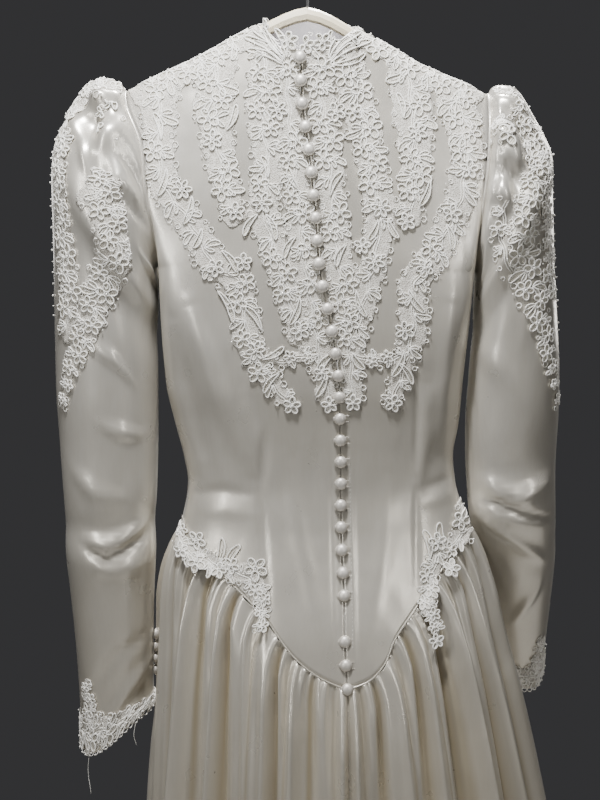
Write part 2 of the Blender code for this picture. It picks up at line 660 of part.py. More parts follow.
def build_front(satin, white):
    """The bodice front in one piece, with lace on each half."""
    right, left = bodice_half(RIGHT, FRONT), bodice_half(LEFT, FRONT)
    grid = np.concatenate([right[:, ::-1], left[:, 1:]], axis=1)
    normals = grid_normals(grid)
    neck = len(NECK_COLUMNS) + len(bodice_shares(LEFT)) - 1
    square_seams(normals, 0, slice(None, -neck))
    square_seams(normals, -1, slice(neck, None))
    wall("bodice_front", grid, normals, BODICE_WALL, satin)
    middle = len(bodice_shares(RIGHT)) - 1
    for side in (LEFT, RIGHT):
        part = slice(middle, None) if side == LEFT else slice(None, middle + 1)
        half, upright = grid[:, part].copy(), normals[:, part]
        half[:, 0 if side == LEFT else -1, 0] += side * SEAM_GAP
        strokes = [[row._replace(x=row.x * side) for row in stroke] for stroke in LACE_FRONT_HALF]
        lace(f"lace_front_{edge_name(side)}", half, upright, strokes_over(strokes), white)


def ring_share(side, arc_share, z, facing):
    """The width share that lies at a share of the way round a quarter of the body."""
    shares = np.sin(np.linspace(0, math.pi / 2, 90))
    heights = np.full_like(shares, z)
    x = across(side, shares, heights, facing)
    y = body_depth(side, x, heights, facing)
    length = np.concatenate([[0], np.cumsum(np.hypot(np.diff(x), np.diff(y)))])
    return np.interp(arc_share * length[-1], length, shares)


def waist_edge(side, facing):
    """The bodice half's bottom edge, with each point's share of the way round it."""
    edge = bodice_half(side, facing)[-1]
    run = np.concatenate([[0], np.cumsum(np.hypot(np.diff(edge[:, 0]), np.diff(edge[:, 1])))])
    return run / run[-1], edge


def fold_height(column_index, share_down):
    """How far a fold stands out of the skirt, uneven from fold to fold."""
    gather = float(column(FOLD_DEPTH, "share", "gather", share_down))
    fold = float(column(FOLD_DEPTH, "share", "fold", share_down))
    turn = 2 * math.pi * column_index / FOLD_COLUMNS
    uneven = 1 + FOLD_UNEVEN * math.sin(FOLD_UNEVEN_TURN * column_index / FOLD_COLUMNS)
    return uneven * (gather * math.sin(turn) + fold * math.sin(turn / 2 + FOLD_LEAN * share_down))


def skirt_quarter(side, facing):
    """Outer points of a quarter of the skirt, columns from its middle to the side."""
    count = SKIRT_FOLDS[facing] * FOLD_COLUMNS
    runs, edge = waist_edge(side, facing)
    grid = np.zeros((len(FOLD_DEPTH), count + 1, 3))
    for col in range(count + 1):
        arc_share = col / count
        waist = np.array([np.interp(arc_share, runs, edge[:, axis]) for axis in range(3)])
        waist[2] -= WAIST_GAP
        hem = HEM[facing] + (sum(HEM.values()) / 2 - HEM[facing]) * arc_share
        for row, step in enumerate(FOLD_DEPTH):
            z = waist[2] + (hem - waist[2]) * step.share
            on_ring, normal = ring_point(side, arc_share, z, facing)
            start = waist if row == 0 else on_ring
            grid[row, col] = start + normal * fold_height(col, step.share)
    return grid


def ring_point(side, arc_share, z, facing):
    """A point on the body's ring at a height, and the level normal there."""
    near = np.array([arc_share - RING_STEP, arc_share, arc_share + RING_STEP])
    heights = np.full(3, z)
    x = across(side, ring_share(side, near, z, facing), heights, facing)
    y = facing * body_depth(side, x, heights, facing)
    if arc_share > 1 - RING_END:
        normal = np.array([side, 0.0, 0.0])
    elif arc_share < RING_END:
        normal = np.array([0.0, facing, 0.0])
    else:
        normal = unit(np.array([y[0] - y[2], x[2] - x[0], 0.0])) * side * facing
    return np.array([x[1], y[1], z]), normal


def build_skirt(satin):
    """Three gathered panels cut from one ring of folds."""
    places = [(side, facing) for side in (LEFT, RIGHT) for facing in (BACK, FRONT)]
    quarters = {place: skirt_quarter(*place) for place in places}
    ring = np.concatenate(
        [
            quarters[LEFT, BACK][:, :-1],
            quarters[LEFT, FRONT][:, :0:-1],
            quarters[RIGHT, FRONT][:, :-1],
            quarters[RIGHT, BACK][:, :0:-1],
        ],
        axis=1,
    )
    normals = -grid_normals(ring, closed=True)
    flatten(normals, 0, slice(None), 2)
    back = SKIRT_FOLDS[BACK] * FOLD_COLUMNS
    front = SKIRT_FOLDS[FRONT] * FOLD_COLUMNS
    flatten(normals, slice(None), 0, 0)
    for side_seam in (back, back + 2 * front):
        flatten(normals, slice(None), side_seam, 1)
    spans = {
        "skirt_back_left": (0, back),
        "skirt_front": (back, back + 2 * front),
        "skirt_back_right": (back + 2 * front, 2 * back + 2 * front),
    }
    for name, (first, last) in spans.items():
        columns = np.arange(first, last + 1) % ring.shape[1]
        panel, upright = ring[:, columns].copy(), normals[:, columns]
        for end in (0, -1):
            axis = 0 if columns[end] == 0 else 1
            middle = panel[0, len(columns) // 2, axis] - panel[0, end, axis]
            panel[:, end, axis] += math.copysign(EDGE_GAP / 2, middle)
        wall(name, panel, upright, SKIRT_WALL, satin)
    return ring[:2].reshape(-1, 3)


def sleeve_ring(side, row, angles):
    """Points round one section of a sleeve. Angle 0 is the outer line and 90 degrees the back."""
    table = SLEEVES[side]
    index = np.arange(len(table))
    at = {}
    for name in SleeveRow._fields:
        at[name] = float(cubic(index, [getattr(each, name) for each in table], row))
    outer = np.array([at["outer_x"], 0, at["outer_z"]])
    inner = np.array([at["inner_x"], 0, at["inner_z"]])
    swing = math.radians(at["swing"])
    deep = np.array([0, math.cos(swing), -math.sin(swing)]) * at["half"]
    middle = (outer + inner) / 2 + np.array([0, at["mid_y"], 0])
    ring = middle + np.outer(np.cos(angles), (outer - inner) / 2) + np.outer(np.sin(angles), deep)
    near = max(0, 1 - row / ARMHOLE_FADE)
    if near:
        hole = body(edge_name(side), ring[:, 2]) + side * ARMHOLE_GAP
        reach = np.where(np.sin(angles) > 0, ARMHOLE_REACH[BACK], ARMHOLE_REACH[FRONT])
        ring[:, 0] += (hole - ring[:, 0]) * near
        ring[:, 1] += (reach * np.sin(angles) - ring[:, 1]) * near
    last = len(table) - 1
    point = np.clip(1 - (last - row) / 2, 0, 1) ** 2
    towards = np.clip(np.cos(angles - math.radians(CUFF_POINT_ANGLE)), 0, 1)
    ring[:, 2] -= CUFF_POINT * point * towards**2
    return ring


def sleeve_relief(side, row, angles):
    """Pleats round the cap and the main folds down the sleeve, as height off the section."""
    fade = math.sin(math.pi * min(row / PLEAT_SPAN, 1)) + PLEAT_AT_SEAM * max(0, 1 - row)
    over_cap = np.sqrt(np.clip(np.cos(angles) + PLEAT_ROUND, 0, 1))
    pleats = np.cos(np.arange(len(angles)) * math.pi) * over_cap
    rise = PLEAT_DEPTH * fade * pleats
    for fold in SLEEVE_FOLDS[side]:
        turn = (np.degrees(angles) - fold.angle + 180) % 360 - 180
        gap = (turn / fold.angles) ** 2 + ((row - fold.row) / fold.rows) ** 2
        rise = rise + fold.rise * np.exp(-gap)
    return rise * min(1, row)


def sleeve_grid(side):
    """Outer points and normals of a sleeve, with the section number of each row."""
    angles = np.linspace(0, 2 * math.pi, SLEEVE_COLUMNS, endpoint=False)
    rows = np.linspace(0, len(SLEEVES[side]) - 1, SLEEVE_ROWS)
    smooth = np.array([sleeve_ring(side, row, angles) for row in rows])
    normals = grid_normals(smooth, closed=True) * side
    relief = np.array([sleeve_relief(side, row, angles) for row in rows])
    grid = smooth + normals * relief[:, :, None]
    return grid, grid_normals(grid, closed=True) * side, rows


def cap_field(rows):
    """Lace field on a sleeve's cap, from arc length off the outer line."""

    def field(surface):
        row = np.linspace(rows[0], rows[-1], surface.shape[0])[:, None]
        turn = np.linspace(0, 2 * math.pi, surface.shape[1])[None, :]
        turn = np.minimum(turn, 2 * math.pi - turn)
        reach = column(LACE_CAP, "row", "reach", row)
        reach = np.where(row > LACE_CAP[-1].row, LACE_CAP[-1].reach, reach)
        reach = np.where(row < LACE_CAP[0].row, NO_LACE, reach)
        arc = turn * CAP_ROUND
        lobes = 2 * math.pi / LACE_LOBE_PITCH
        wave = np.sin(lobes * arc * CAP_LOBES) * np.sin(lobes * surface[..., 2])
        return reach - arc + 2 * LACE_LOBE * wave

    return field


def cuff_field(grid):
    """Lace field of the band round a cuff, deep at its point and shallow at the buttons."""
    bottom = np.append(grid[-1, :, 2], grid[-1, 0, 2])

    def field(surface):
        turn = np.linspace(0, 2 * math.pi, surface.shape[1])
        hem = np.interp(turn, np.linspace(0, 2 * math.pi, len(bottom)), bottom)
        lean = 0.5 + 0.5 * np.cos(turn - math.radians(CUFF_POINT_ANGLE))
        reach = LACE_CUFF_LOW + (LACE_CUFF_HIGH - LACE_CUFF_LOW) * lean
        reach = reach + LACE_CUFF_SCALLOP * np.cos(LACE_CUFF_SCALLOPS * turn)
        return reach - (surface[..., 2] - hem)

    return field


def build_sleeves(satin, white):
    """Sleeves with cap and cuff lace, and their wrist buttons."""
    for side in (LEFT, RIGHT):
        name = edge_name(side)
        grid, normals, rows = sleeve_grid(side)
        wall(f"sleeve_{name}", grid, normals, SLEEVE_WALL, satin, closed=True)
        cap, cuff = slice(0, CAP_ROWS), slice(-CUFF_ROWS, None)
        field = cap_field(rows[cap])
        lace(f"lace_sleeve_{name}", grid[cap], normals[cap], field, white, closed=True)
        lace(f"lace_cuff_{name}", grid[cuff], normals[cuff], cuff_field(grid), white, closed=True)
        build_cuff_buttons(side, grid, normals, satin)


def button(name, place, normal, looks):
    """A covered button: a low drum with a domed top, standing on its normal."""
    normal = unit(np.asarray(normal, float))
    side = unit(np.cross(normal, (0.0, 0.0, 1.0)))
    up = np.cross(side, normal)
    turns = np.linspace(0, 2 * math.pi, BUTTON_SIDES, endpoint=False)
    circle = np.outer(np.cos(turns), side) + np.outer(np.sin(turns), up)
    low = place + circle * BUTTON_RADIUS * BUTTON_FOOT
    high = place + circle * BUTTON_RADIUS + normal * BUTTON_EDGE
    top = place + normal * (BUTTON_EDGE + BUTTON_DOME)
    count = BUTTON_SIDES
    faces = [tuple(range(count))]
    for i in range(count):
        j = (i + 1) % count
        faces.append((i, i + count, j + count, j))
        faces.append((i + count, 2 * count, j + count))
    return add_solid(name, np.concatenate([low, high, [top]]), faces, looks)


def lace_rise(field):
    """How far a lace's face stands off its panel, by how deep a place lies in a motif."""
    return LACE_LIFT + LACE_NET + LACE_RELIEF * np.clip(field / LACE_DOME, 0, 1)


def back_faces(backs):
    """Dense points on the dressed back, lace included, each with its panel's normal."""
    found = []
    for side in (LEFT, RIGHT):
        grid, normals = backs[side]
        field = strokes_over(LACE_BACK[side])(grid)[:, :, None]
        joined = np.concatenate([grid, normals, field], axis=2)[:, :SEAT_COLUMNS]
        near = finer(joined, SEAT_FINER).reshape(-1, joined.shape[2])
        rise = np.where(near[:, 6] > 0, lace_rise(near[:, 6]), 0)
        upright = unit(near[:, 3:6])
        found.append(np.concatenate([near[:, :3] + upright * rise[:, None], upright], axis=1))
    return np.concatenate(found)


def build_back_buttons(backs, gathers, satin):
    """Buttons down the centre back, standing on the lace or cloth under each. One is lost."""
    surface = back_faces(backs)
    heights = np.linspace(BACK_BUTTON_FIRST, BACK_BUTTON_LAST, BACK_BUTTON_PLACES)
    for number, z in enumerate(heights):
        if number == LOST_BUTTON:
            continue
        x = float(body("centre", z))
        apart = np.hypot(surface[:, 0] - x, surface[:, 2] - z)
        nearest = surface[np.argmin(apart)]
        place, normal = np.array([x, nearest[1], z]), unit(nearest[3:])
        under = surface[apart < BUTTON_RADIUS, :3]
        near = np.hypot(gathers[:, 0] - x, gathers[:, 2] - z) < 2 * BUTTON_RADIUS
        under = np.concatenate([under, gathers[near]]) - place
        lift = BUTTON_LIFT + float((under @ normal).max())
        button(f"button_back_{number + 1:02d}", place + normal * lift, normal, satin)


def build_cuff_buttons(side, grid, normals, satin):
    """Four buttons up the inner line of a cuff, above its lace."""
    inner = SLEEVE_COLUMNS // 2
    line, upright = grid[:, inner], normals[:, inner]
    run = np.concatenate([[0], np.cumsum(np.linalg.norm(np.diff(line, axis=0), axis=1))])
    for number in range(CUFF_BUTTONS):
        at = run[-1] - CUFF_BUTTON_FIRST - number * CUFF_BUTTON_PITCH
        place = np.array([np.interp(at, run, line[:, axis]) for axis in range(3)])
        normal = unit(np.array([np.interp(at, run, upright[:, axis]) for axis in range(3)]))
        name = f"button_cuff_{edge_name(side)}_{number + 1}"
        button(name, place + normal * CUFF_BUTTON_LIFT, normal, satin)


def hanger_top(x):
    """Height of the hanger's top: an arch at the neck, then just under the shoulder seams."""
    line = SHOULDERS[LEFT if x >= 0 else RIGHT]
    neck = line[0]
    if abs(x) < abs(neck.x):
        fall = neck.z - HANGER_LOWER - HANGER_TOP
        return HANGER_TOP + fall * abs(x / neck.x) ** HANGER_ARCH
    seam = np.interp(abs(x), [abs(row.x) for row in line], [row.z for row in line])
    return float(seam) - HANGER_LOWER


def build_hanger(cream, steel):
    """A slim moulded hanger as one swept bar, and its wire hook."""
    arm = np.linspace(HANGER_NECK, HANGER_END, HANGER_ARM_ROWS)
    places = np.concatenate([-arm[::-1], np.linspace(-HANGER_BEND, HANGER_BEND, HANGER_ARCH_ROWS), arm])
    turns = np.linspace(0, 2 * math.pi, HANGER_SIDES, endpoint=False)
    rings = []
    for x in places:
        out = max(0.0, (abs(x) - HANGER_TAPER_FROM) / (HANGER_END - HANGER_TAPER_FROM))
        slim = 1 - HANGER_TAPER * out**2
        y = np.cos(turns) * HANGER_DEEP * slim / 2
        z = hanger_top(x) + (np.sin(turns) - 1) * HANGER_TALL * slim / 2
        rings.append(np.stack([np.full(HANGER_SIDES, x), y, z], axis=1))
    add_swept("hanger", np.array(rings), cream)
    build_hook(steel)


def add_swept(name, rings, looks):
    """A bar through rings of points, closed at both ends."""
    rows, columns = rings.shape[:2]
    faces = cell_triangles(rows, columns, True)
    faces.append(tuple(range(columns))[::-1])
    faces.append(tuple((rows - 1) * columns + i for i in range(columns)))
    points = rings.reshape(-1, 3)
    return add_solid(name, points, faces, looks)


def build_hook(steel):
    """The hook: round over the rail, then down to the hanger."""
    radius = HOOK_INSIDE + HOOK_WIRE / 2
    bends = np.radians(np.linspace(*HOOK_TURNS))
    round_part = [(radius * math.cos(turn), radius * math.sin(turn) - HOOK_INSIDE) for turn in bends]
    neck_start, stem_top = np.array(round_part[-1]), np.array(HOOK_STEM_TOP)
    stem = [tuple(neck_start * (1 - share) + stem_top * share) for share in HOOK_STEM_SHARES]
    path = np.array([(x, 0, z) for x, z in round_part + stem + HOOK_STEM])
    along = unit(np.gradient(path, axis=0))
    along[-1] = (0, 0, -1)
    across_wire = np.cross(along, (0.0, 1.0, 0.0))
    turns = np.linspace(0, 2 * math.pi, HOOK_SIDES, endpoint=False)
    back = np.outer(np.sin(turns), (0.0, 1.0, 0.0))
    rings = [
        place + HOOK_WIRE / 2 * (np.outer(np.cos(turns), sideways) + back)
        for place, sideways in zip(path, across_wire)
    ]
    add_swept("hook", np.array(rings), steel)


def main():
    for old in list(bpy.data.objects):
        bpy.data.objects.remove(old, do_unlink=True)
    satin = material("ivory_satin", IVORY, 0.38)
    white = material("corded_lace", LACE_WHITE, 0.7)
    backs = build_bodice(satin, white)
    gathers = build_skirt(satin)
    build_sleeves(satin, white)
    build_back_buttons(backs, gathers, satin)
    cream = material("hanger_cream", HANGER_CREAM, 0.45)
    steel = material("hook_steel", STEEL, 0.3, 1.0)
    build_hanger(cream, steel)


main()
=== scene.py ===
"""The looks of a wedding dress on a hanger: satin, corded lace, covered buttons and folds."""

import math
from collections import namedtuple
from itertools import combinations

import bpy
import numpy as np
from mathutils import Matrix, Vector


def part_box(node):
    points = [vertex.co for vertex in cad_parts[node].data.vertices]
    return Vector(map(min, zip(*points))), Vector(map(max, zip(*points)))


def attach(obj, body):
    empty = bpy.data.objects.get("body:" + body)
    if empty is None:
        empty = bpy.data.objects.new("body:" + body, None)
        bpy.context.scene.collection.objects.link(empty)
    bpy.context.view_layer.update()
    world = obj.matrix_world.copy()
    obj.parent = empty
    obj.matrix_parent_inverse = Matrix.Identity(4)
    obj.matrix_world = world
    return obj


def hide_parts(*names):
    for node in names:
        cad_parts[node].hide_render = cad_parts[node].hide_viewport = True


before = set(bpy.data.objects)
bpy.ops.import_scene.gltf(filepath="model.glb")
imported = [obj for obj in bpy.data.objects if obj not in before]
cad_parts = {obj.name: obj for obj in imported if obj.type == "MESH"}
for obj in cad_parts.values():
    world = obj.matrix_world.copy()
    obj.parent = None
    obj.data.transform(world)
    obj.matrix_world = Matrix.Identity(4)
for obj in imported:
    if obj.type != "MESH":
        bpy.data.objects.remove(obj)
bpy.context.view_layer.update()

MM = 0.001
LEFT, RIGHT = 1, -1
BACK, FRONT = 1, -1
BODICE_WALL = 1.5 * MM
SKIRT_WALL = 1.2 * MM
SLEEVE_WALL = 1.2 * MM
SEAM_GAP = 0.3 * MM
EDGE_GAP = 0.5 * MM
WAIST_GAP = 0.8 * MM
ARMHOLE_GAP = 0.8 * MM
LACE_LOBE = 2.6 * MM
LACE_LOBE_PITCH = 27 * MM
NET_LIFT = 0.75 * MM
NET_THICKNESS = 0.4 * MM
NET_PITCH = 3.5 * MM
HIP_NET_PITCH = 2.5 * MM
NET_TRIM = 3.0 * MM
NET_MARGIN = 0.03
# The back's lace stands above the neck by this much, this far each way from the middle
NECK_STAND = 17 * MM
NECK_STAND_HALF = 0.034
FRONT_STAND = 4 * MM
EDGE_STAND = 0.8 * MM
# Lace over the waist seam stands out by this much, within a run below the seam
OVER_WAIST = 8.5 * MM
OVER_WAIST_RUN = 12 * MM
BodyRow = namedtuple("BodyRow", "z centre left right back front")
BODY = [
    BodyRow(-1.620, -0.060, 0.195, -0.350, 0.230, 0.190),
    BodyRow(-1.200, -0.050, 0.170, -0.295, 0.160, 0.140),
    BodyRow(-0.907, -0.043, 0.153, -0.243, 0.115, 0.103),
    BodyRow(-0.776, -0.041, 0.149, -0.215, 0.094, 0.088),
    BodyRow(-0.710, -0.038, 0.1455, -0.197, 0.080, 0.078),
    BodyRow(-0.660, -0.037, 0.144, -0.186, 0.064, 0.068),
    BodyRow(-0.625, -0.035, 0.137, -0.177, 0.054, 0.060),
    BodyRow(-0.604, -0.0345, 0.130, -0.167, 0.050, 0.055),
    BodyRow(-0.562, -0.034, 0.123, -0.153, 0.046, 0.052),
    BodyRow(-0.536, -0.034, 0.127, -0.1505, 0.047, 0.055),
    BodyRow(-0.500, -0.033, 0.136, -0.156, 0.050, 0.062),
    BodyRow(-0.460, -0.032, 0.1445, -0.159, 0.055, 0.073),
    BodyRow(-0.400, -0.024, 0.148, -0.1635, 0.058, 0.084),
    BodyRow(-0.340, -0.012, 0.149, -0.1675, 0.058, 0.087),
    BodyRow(-0.310, -0.0095, 0.1515, -0.170, 0.056, 0.083),
    BodyRow(-0.273, -0.0065, 0.159, -0.1745, 0.054, 0.076),
    BodyRow(-0.226, -0.0015, 0.1625, -0.179, 0.050, 0.068),
    BodyRow(-0.168, 0.006, 0.182, -0.181, 0.046, 0.062),
    BodyRow(-0.080, 0.008, 0.182, -0.181, 0.045, 0.058),
]
BODY_SQUARENESS = 2.2
ARMPIT_SQUARENESS = 5.0
ARMPIT_TALL = 0.05
ARMPIT_SOFT = 0.03
ShoulderRow = namedtuple("ShoulderRow", "x z")
SHOULDERS = {
    LEFT: [ShoulderRow(0.049, -0.1025), ShoulderRow(0.107, -0.1345), ShoulderRow(0.182, -0.168)],
    RIGHT: [ShoulderRow(-0.0485, -0.1055), ShoulderRow(-0.1125, -0.143), ShoulderRow(-0.181, -0.171)],
}
Neck = namedtuple("Neck", "x z out power")
NECK = {BACK: Neck(0.008, -0.131, 0.045, 3.0), FRONT: Neck(0.0, -0.091, 0.058, 2.0)}
ARMHOLE_BOTTOM = {LEFT: -0.3393, RIGHT: -0.345}
ARMHOLE_REACH = {BACK: 0.045, FRONT: 0.050}
WaistRow = namedtuple("WaistRow", "share left right")
WAIST_BACK = [
    WaistRow(0.00, -0.757, -0.757),
    WaistRow(0.13, -0.747, -0.749),
    WaistRow(0.24, -0.733, -0.732),
    WaistRow(0.31, -0.720, -0.711),
    WaistRow(0.43, -0.691, -0.688),
    WaistRow(0.70, -0.648, -0.644),
    WaistRow(1.00, -0.612, -0.608),
]
WAIST_FRONT = [
    WaistRow(0.00, -0.745, -0.745),
    WaistRow(0.15, -0.735, -0.734),
    WaistRow(0.45, -0.689, -0.685),
    WaistRow(1.00, -0.612, -0.608),
]
FALL_LENGTH = 0.07
FALL_POWER = 0.5
BUST_X = 0.078
BUST_Z = -0.335
BUST_OUT = 0.011
BUST_WIDE = 0.050
BUST_TALL = 0.062
SHARE_HEIGHT = -0.10
FRONT_MIDDLE_OVER = 0.2
NECK_SHARE = {LEFT: 0.235, RIGHT: 0.300}
NECK_COLUMNS = (0.0, 0.36, 0.70, 0.90)
SIDE_COLUMNS = (0.0, 0.17, 0.35, 0.54, 0.73, 0.90, 1.0)
BODICE_ROWS = (
    0.0, 0.016, 0.05, 0.09, 0.135, 0.18, 0.23, 0.28, 0.33, 0.386, 0.45, 0.52, 0.62, 0.74, 0.87, 1.0,
)
SKIRT_FOLDS = {BACK: 11, FRONT: 9}
HEM = {BACK: -1.615, FRONT: -1.580}
FoldRow = namedtuple("FoldRow", "share gather fold")
FOLD_DEPTH = [
    FoldRow(0.00, 1.4 * MM, 0.0),
    FoldRow(0.03, 4.0 * MM, 0.5 * MM),
    FoldRow(0.09, 5.0 * MM, 2.0 * MM),
    FoldRow(0.20, 5.5 * MM, 6.0 * MM),
    FoldRow(0.38, 5.5 * MM, 11.0 * MM),
    FoldRow(0.65, 5.0 * MM, 17.0 * MM),
    FoldRow(1.00, 6.0 * MM, 22.0 * MM),
]
# How the folds wander sideways and vary in depth, over their number round the quarter
Wave = namedtuple("Wave", "size rate")
FOLD_DRIFT = Wave(0.30, 1.7)
FOLD_DRIFT_FINE = Wave(0.16, 3.9)
FOLD_SLIDE = Wave(0.30, 1.15)
FOLD_UNEVEN = Wave(0.35, 2.4)
FOLD_UNEVEN_FINE = Wave(0.30, 5.3)
# A fold's crest is part plain wave and part sharp ridge
CREST_PLAIN = 0.55
SKIRT_LEVELS = np.linspace(-1.62, -0.60, 40)
# Shares of the way down by which the gathers reach the body's form and by which they ease
GATHER_SETTLE = 0.03
GATHER_EASE = 0.25
GATHER_LOSS = 0.45
HIP_FOLD = 5.0 * MM
PINCH = 1.7 * MM
PINCH_LEFT = 0.3 * MM
RIPPLE = 0.9 * MM
FOLD_COLUMNS = 12
SKIRT_ROWS = 64
# Columns and rows of half a bodice's fine grid
BODICE_GRID = {BACK: (64, 210), FRONT: (46, 140)}
SLEEVE_ROWS = 140
SLEEVE_COLUMNS = 96
# The cap's flat chart: its step, its steps each way from the outer line, and its length down that line
CHART_PITCH = 3 * MM
CHART_STEPS = 40
CHART_LENGTH = 0.40
UNDERLAP_TOP = -0.133
UNDERLAP_BOTTOM = -0.752
UNDERLAP_ROWS = 120
UNDERLAP_HALF = 7 * MM
UNDERLAP_SUNK = 1.7 * MM
PIPING = 1.1 * MM
PIPING_SUNK = 0.4 * MM
HEM_CORD = 1.0 * MM
MIDDLE_CORD = 0.9 * MM
MIDDLE_CORD_SUNK = 0.6 * MM
ARMHOLE_CORD = 1.8 * MM
ARMHOLE_CORD_SUNK = 0.3 * MM
# The least share of its rectangle that a sheet's area is stated as
LEAST_CUT = 0.31
SleeveRow = namedtuple("SleeveRow", "outer_x outer_z inner_x inner_z mid_y half swing")
SLEEVES = {
    LEFT: [
        SleeveRow(0.1825, -0.1676, 0.1500, -0.3393, 0.000, 0.0475, 0),
        SleeveRow(0.1930, -0.1605, 0.1525, -0.3425, 0.000, 0.0560, 0),
        SleeveRow(0.2085, -0.1612, 0.1535, -0.3480, 0.000, 0.0620, 0),
        SleeveRow(0.2260, -0.1740, 0.1530, -0.3570, 0.000, 0.0650, 0),
        SleeveRow(0.2420, -0.1960, 0.1520, -0.3680, 0.000, 0.0650, 0),
        SleeveRow(0.2535, -0.2230, 0.1515, -0.3830, 0.000, 0.0630, 0),
        SleeveRow(0.2568, -0.2600, 0.1515, -0.4010, 0.000, 0.0590, 0),
        SleeveRow(0.2567, -0.3150, 0.1520, -0.4300, -0.001, 0.0540, 0),
        SleeveRow(0.2572, -0.3850, 0.1527, -0.4640, -0.002, 0.0500, 0),
        SleeveRow(0.2574, -0.4600, 0.1533, -0.5050, -0.003, 0.0470, 0),
        SleeveRow(0.2548, -0.5250, 0.1545, -0.5450, -0.004, 0.0440, 2),
        SleeveRow(0.2520, -0.5880, 0.1562, -0.5880, -0.004, 0.0420, 4),
        SleeveRow(0.2512, -0.6300, 0.1580, -0.6280, -0.006, 0.0410, 6),
        SleeveRow(0.2477, -0.6900, 0.1609, -0.6890, -0.012, 0.0390, 6),
        SleeveRow(0.2442, -0.7500, 0.1626, -0.7480, -0.018, 0.0370, 6),
        SleeveRow(0.2426, -0.8050, 0.1634, -0.7900, -0.024, 0.0350, 6),
        SleeveRow(0.2424, -0.8400, 0.1640, -0.8080, -0.027, 0.0340, 6),
    ],
    RIGHT: [
        SleeveRow(-0.1815, -0.1706, -0.1680, -0.3450, 0.000, 0.0475, 0),
        SleeveRow(-0.1900, -0.1640, -0.1702, -0.3480, 0.000, 0.0560, 0),
        SleeveRow(-0.2040, -0.1665, -0.1710, -0.3530, 0.000, 0.0610, 0),
        SleeveRow(-0.2210, -0.1850, -0.1705, -0.3620, 0.000, 0.0630, 0),
        SleeveRow(-0.2360, -0.2080, -0.1700, -0.3740, -0.001, 0.0620, 0),
        SleeveRow(-0.2455, -0.2370, -0.1695, -0.3880, -0.002, 0.0600, 0),
        SleeveRow(-0.2475, -0.2740, -0.1688, -0.4060, -0.003, 0.0570, 0),
        SleeveRow(-0.2500, -0.3250, -0.1675, -0.4300, -0.005, 0.0530, 0),
        SleeveRow(-0.2545, -0.3850, -0.1660, -0.4600, -0.007, 0.0500, 0),
        SleeveRow(-0.2595, -0.4600, -0.1640, -0.4980, -0.010, 0.0470, 2),
        SleeveRow(-0.2600, -0.5250, -0.1640, -0.5400, -0.014, 0.0440, 4),
        SleeveRow(-0.2590, -0.5850, -0.1690, -0.5850, -0.020, 0.0420, 8),
        SleeveRow(-0.2632, -0.6150, -0.1740, -0.6200, -0.034, 0.0410, 18),
        SleeveRow(-0.2670, -0.6500, -0.1790, -0.6550, -0.055, 0.0400, 28),
        SleeveRow(-0.2685, -0.6900, -0.1830, -0.6950, -0.080, 0.0390, 32),
        SleeveRow(-0.2690, -0.7390, -0.1870, -0.7400, -0.108, 0.0370, 32),
        SleeveRow(-0.2690, -0.7900, -0.1900, -0.7780, -0.137, 0.0345, 32),
    ],
}
ARMHOLE_FADE = 1.0
PLEAT_DEPTH = 3.6 * MM
PLEAT_SPAN = 4.2
PLEAT_AT_SEAM = 0.25
PLEAT_ROUND = 0.2
CUFF_POINT = 0.020
CUFF_POINT_ANGLE = 50
SleeveFold = namedtuple("SleeveFold", "row angle rows angles rise")
SLEEVE_FOLDS = {
    LEFT: [
        SleeveFold(3.2, 40, 0.8, 40, -6 * MM),
        SleeveFold(5.2, 95, 0.7, 50, 4 * MM),
        SleeveFold(6.4, 130, 0.8, 60, -4 * MM),
        SleeveFold(11.4, 100, 0.45, 75, -5 * MM),
        SleeveFold(12.2, 100, 0.45, 75, 3 * MM),
        SleeveFold(14.6, 120, 0.6, 50, -3 * MM),
    ],
    RIGHT: [
        SleeveFold(3.4, 60, 0.7, 50, -6 * MM),
        SleeveFold(4.6, 80, 0.6, 60, 4 * MM),
        SleeveFold(6.2, 120, 0.8, 60, -4 * MM),
        SleeveFold(10.2, 90, 0.5, 75, -5 * MM),
        SleeveFold(11.2, 90, 0.5, 75, 4 * MM),
        SleeveFold(12.4, 100, 0.5, 70, -4 * MM),
    ],
}
Stroke = namedtuple("Stroke", "x z half")
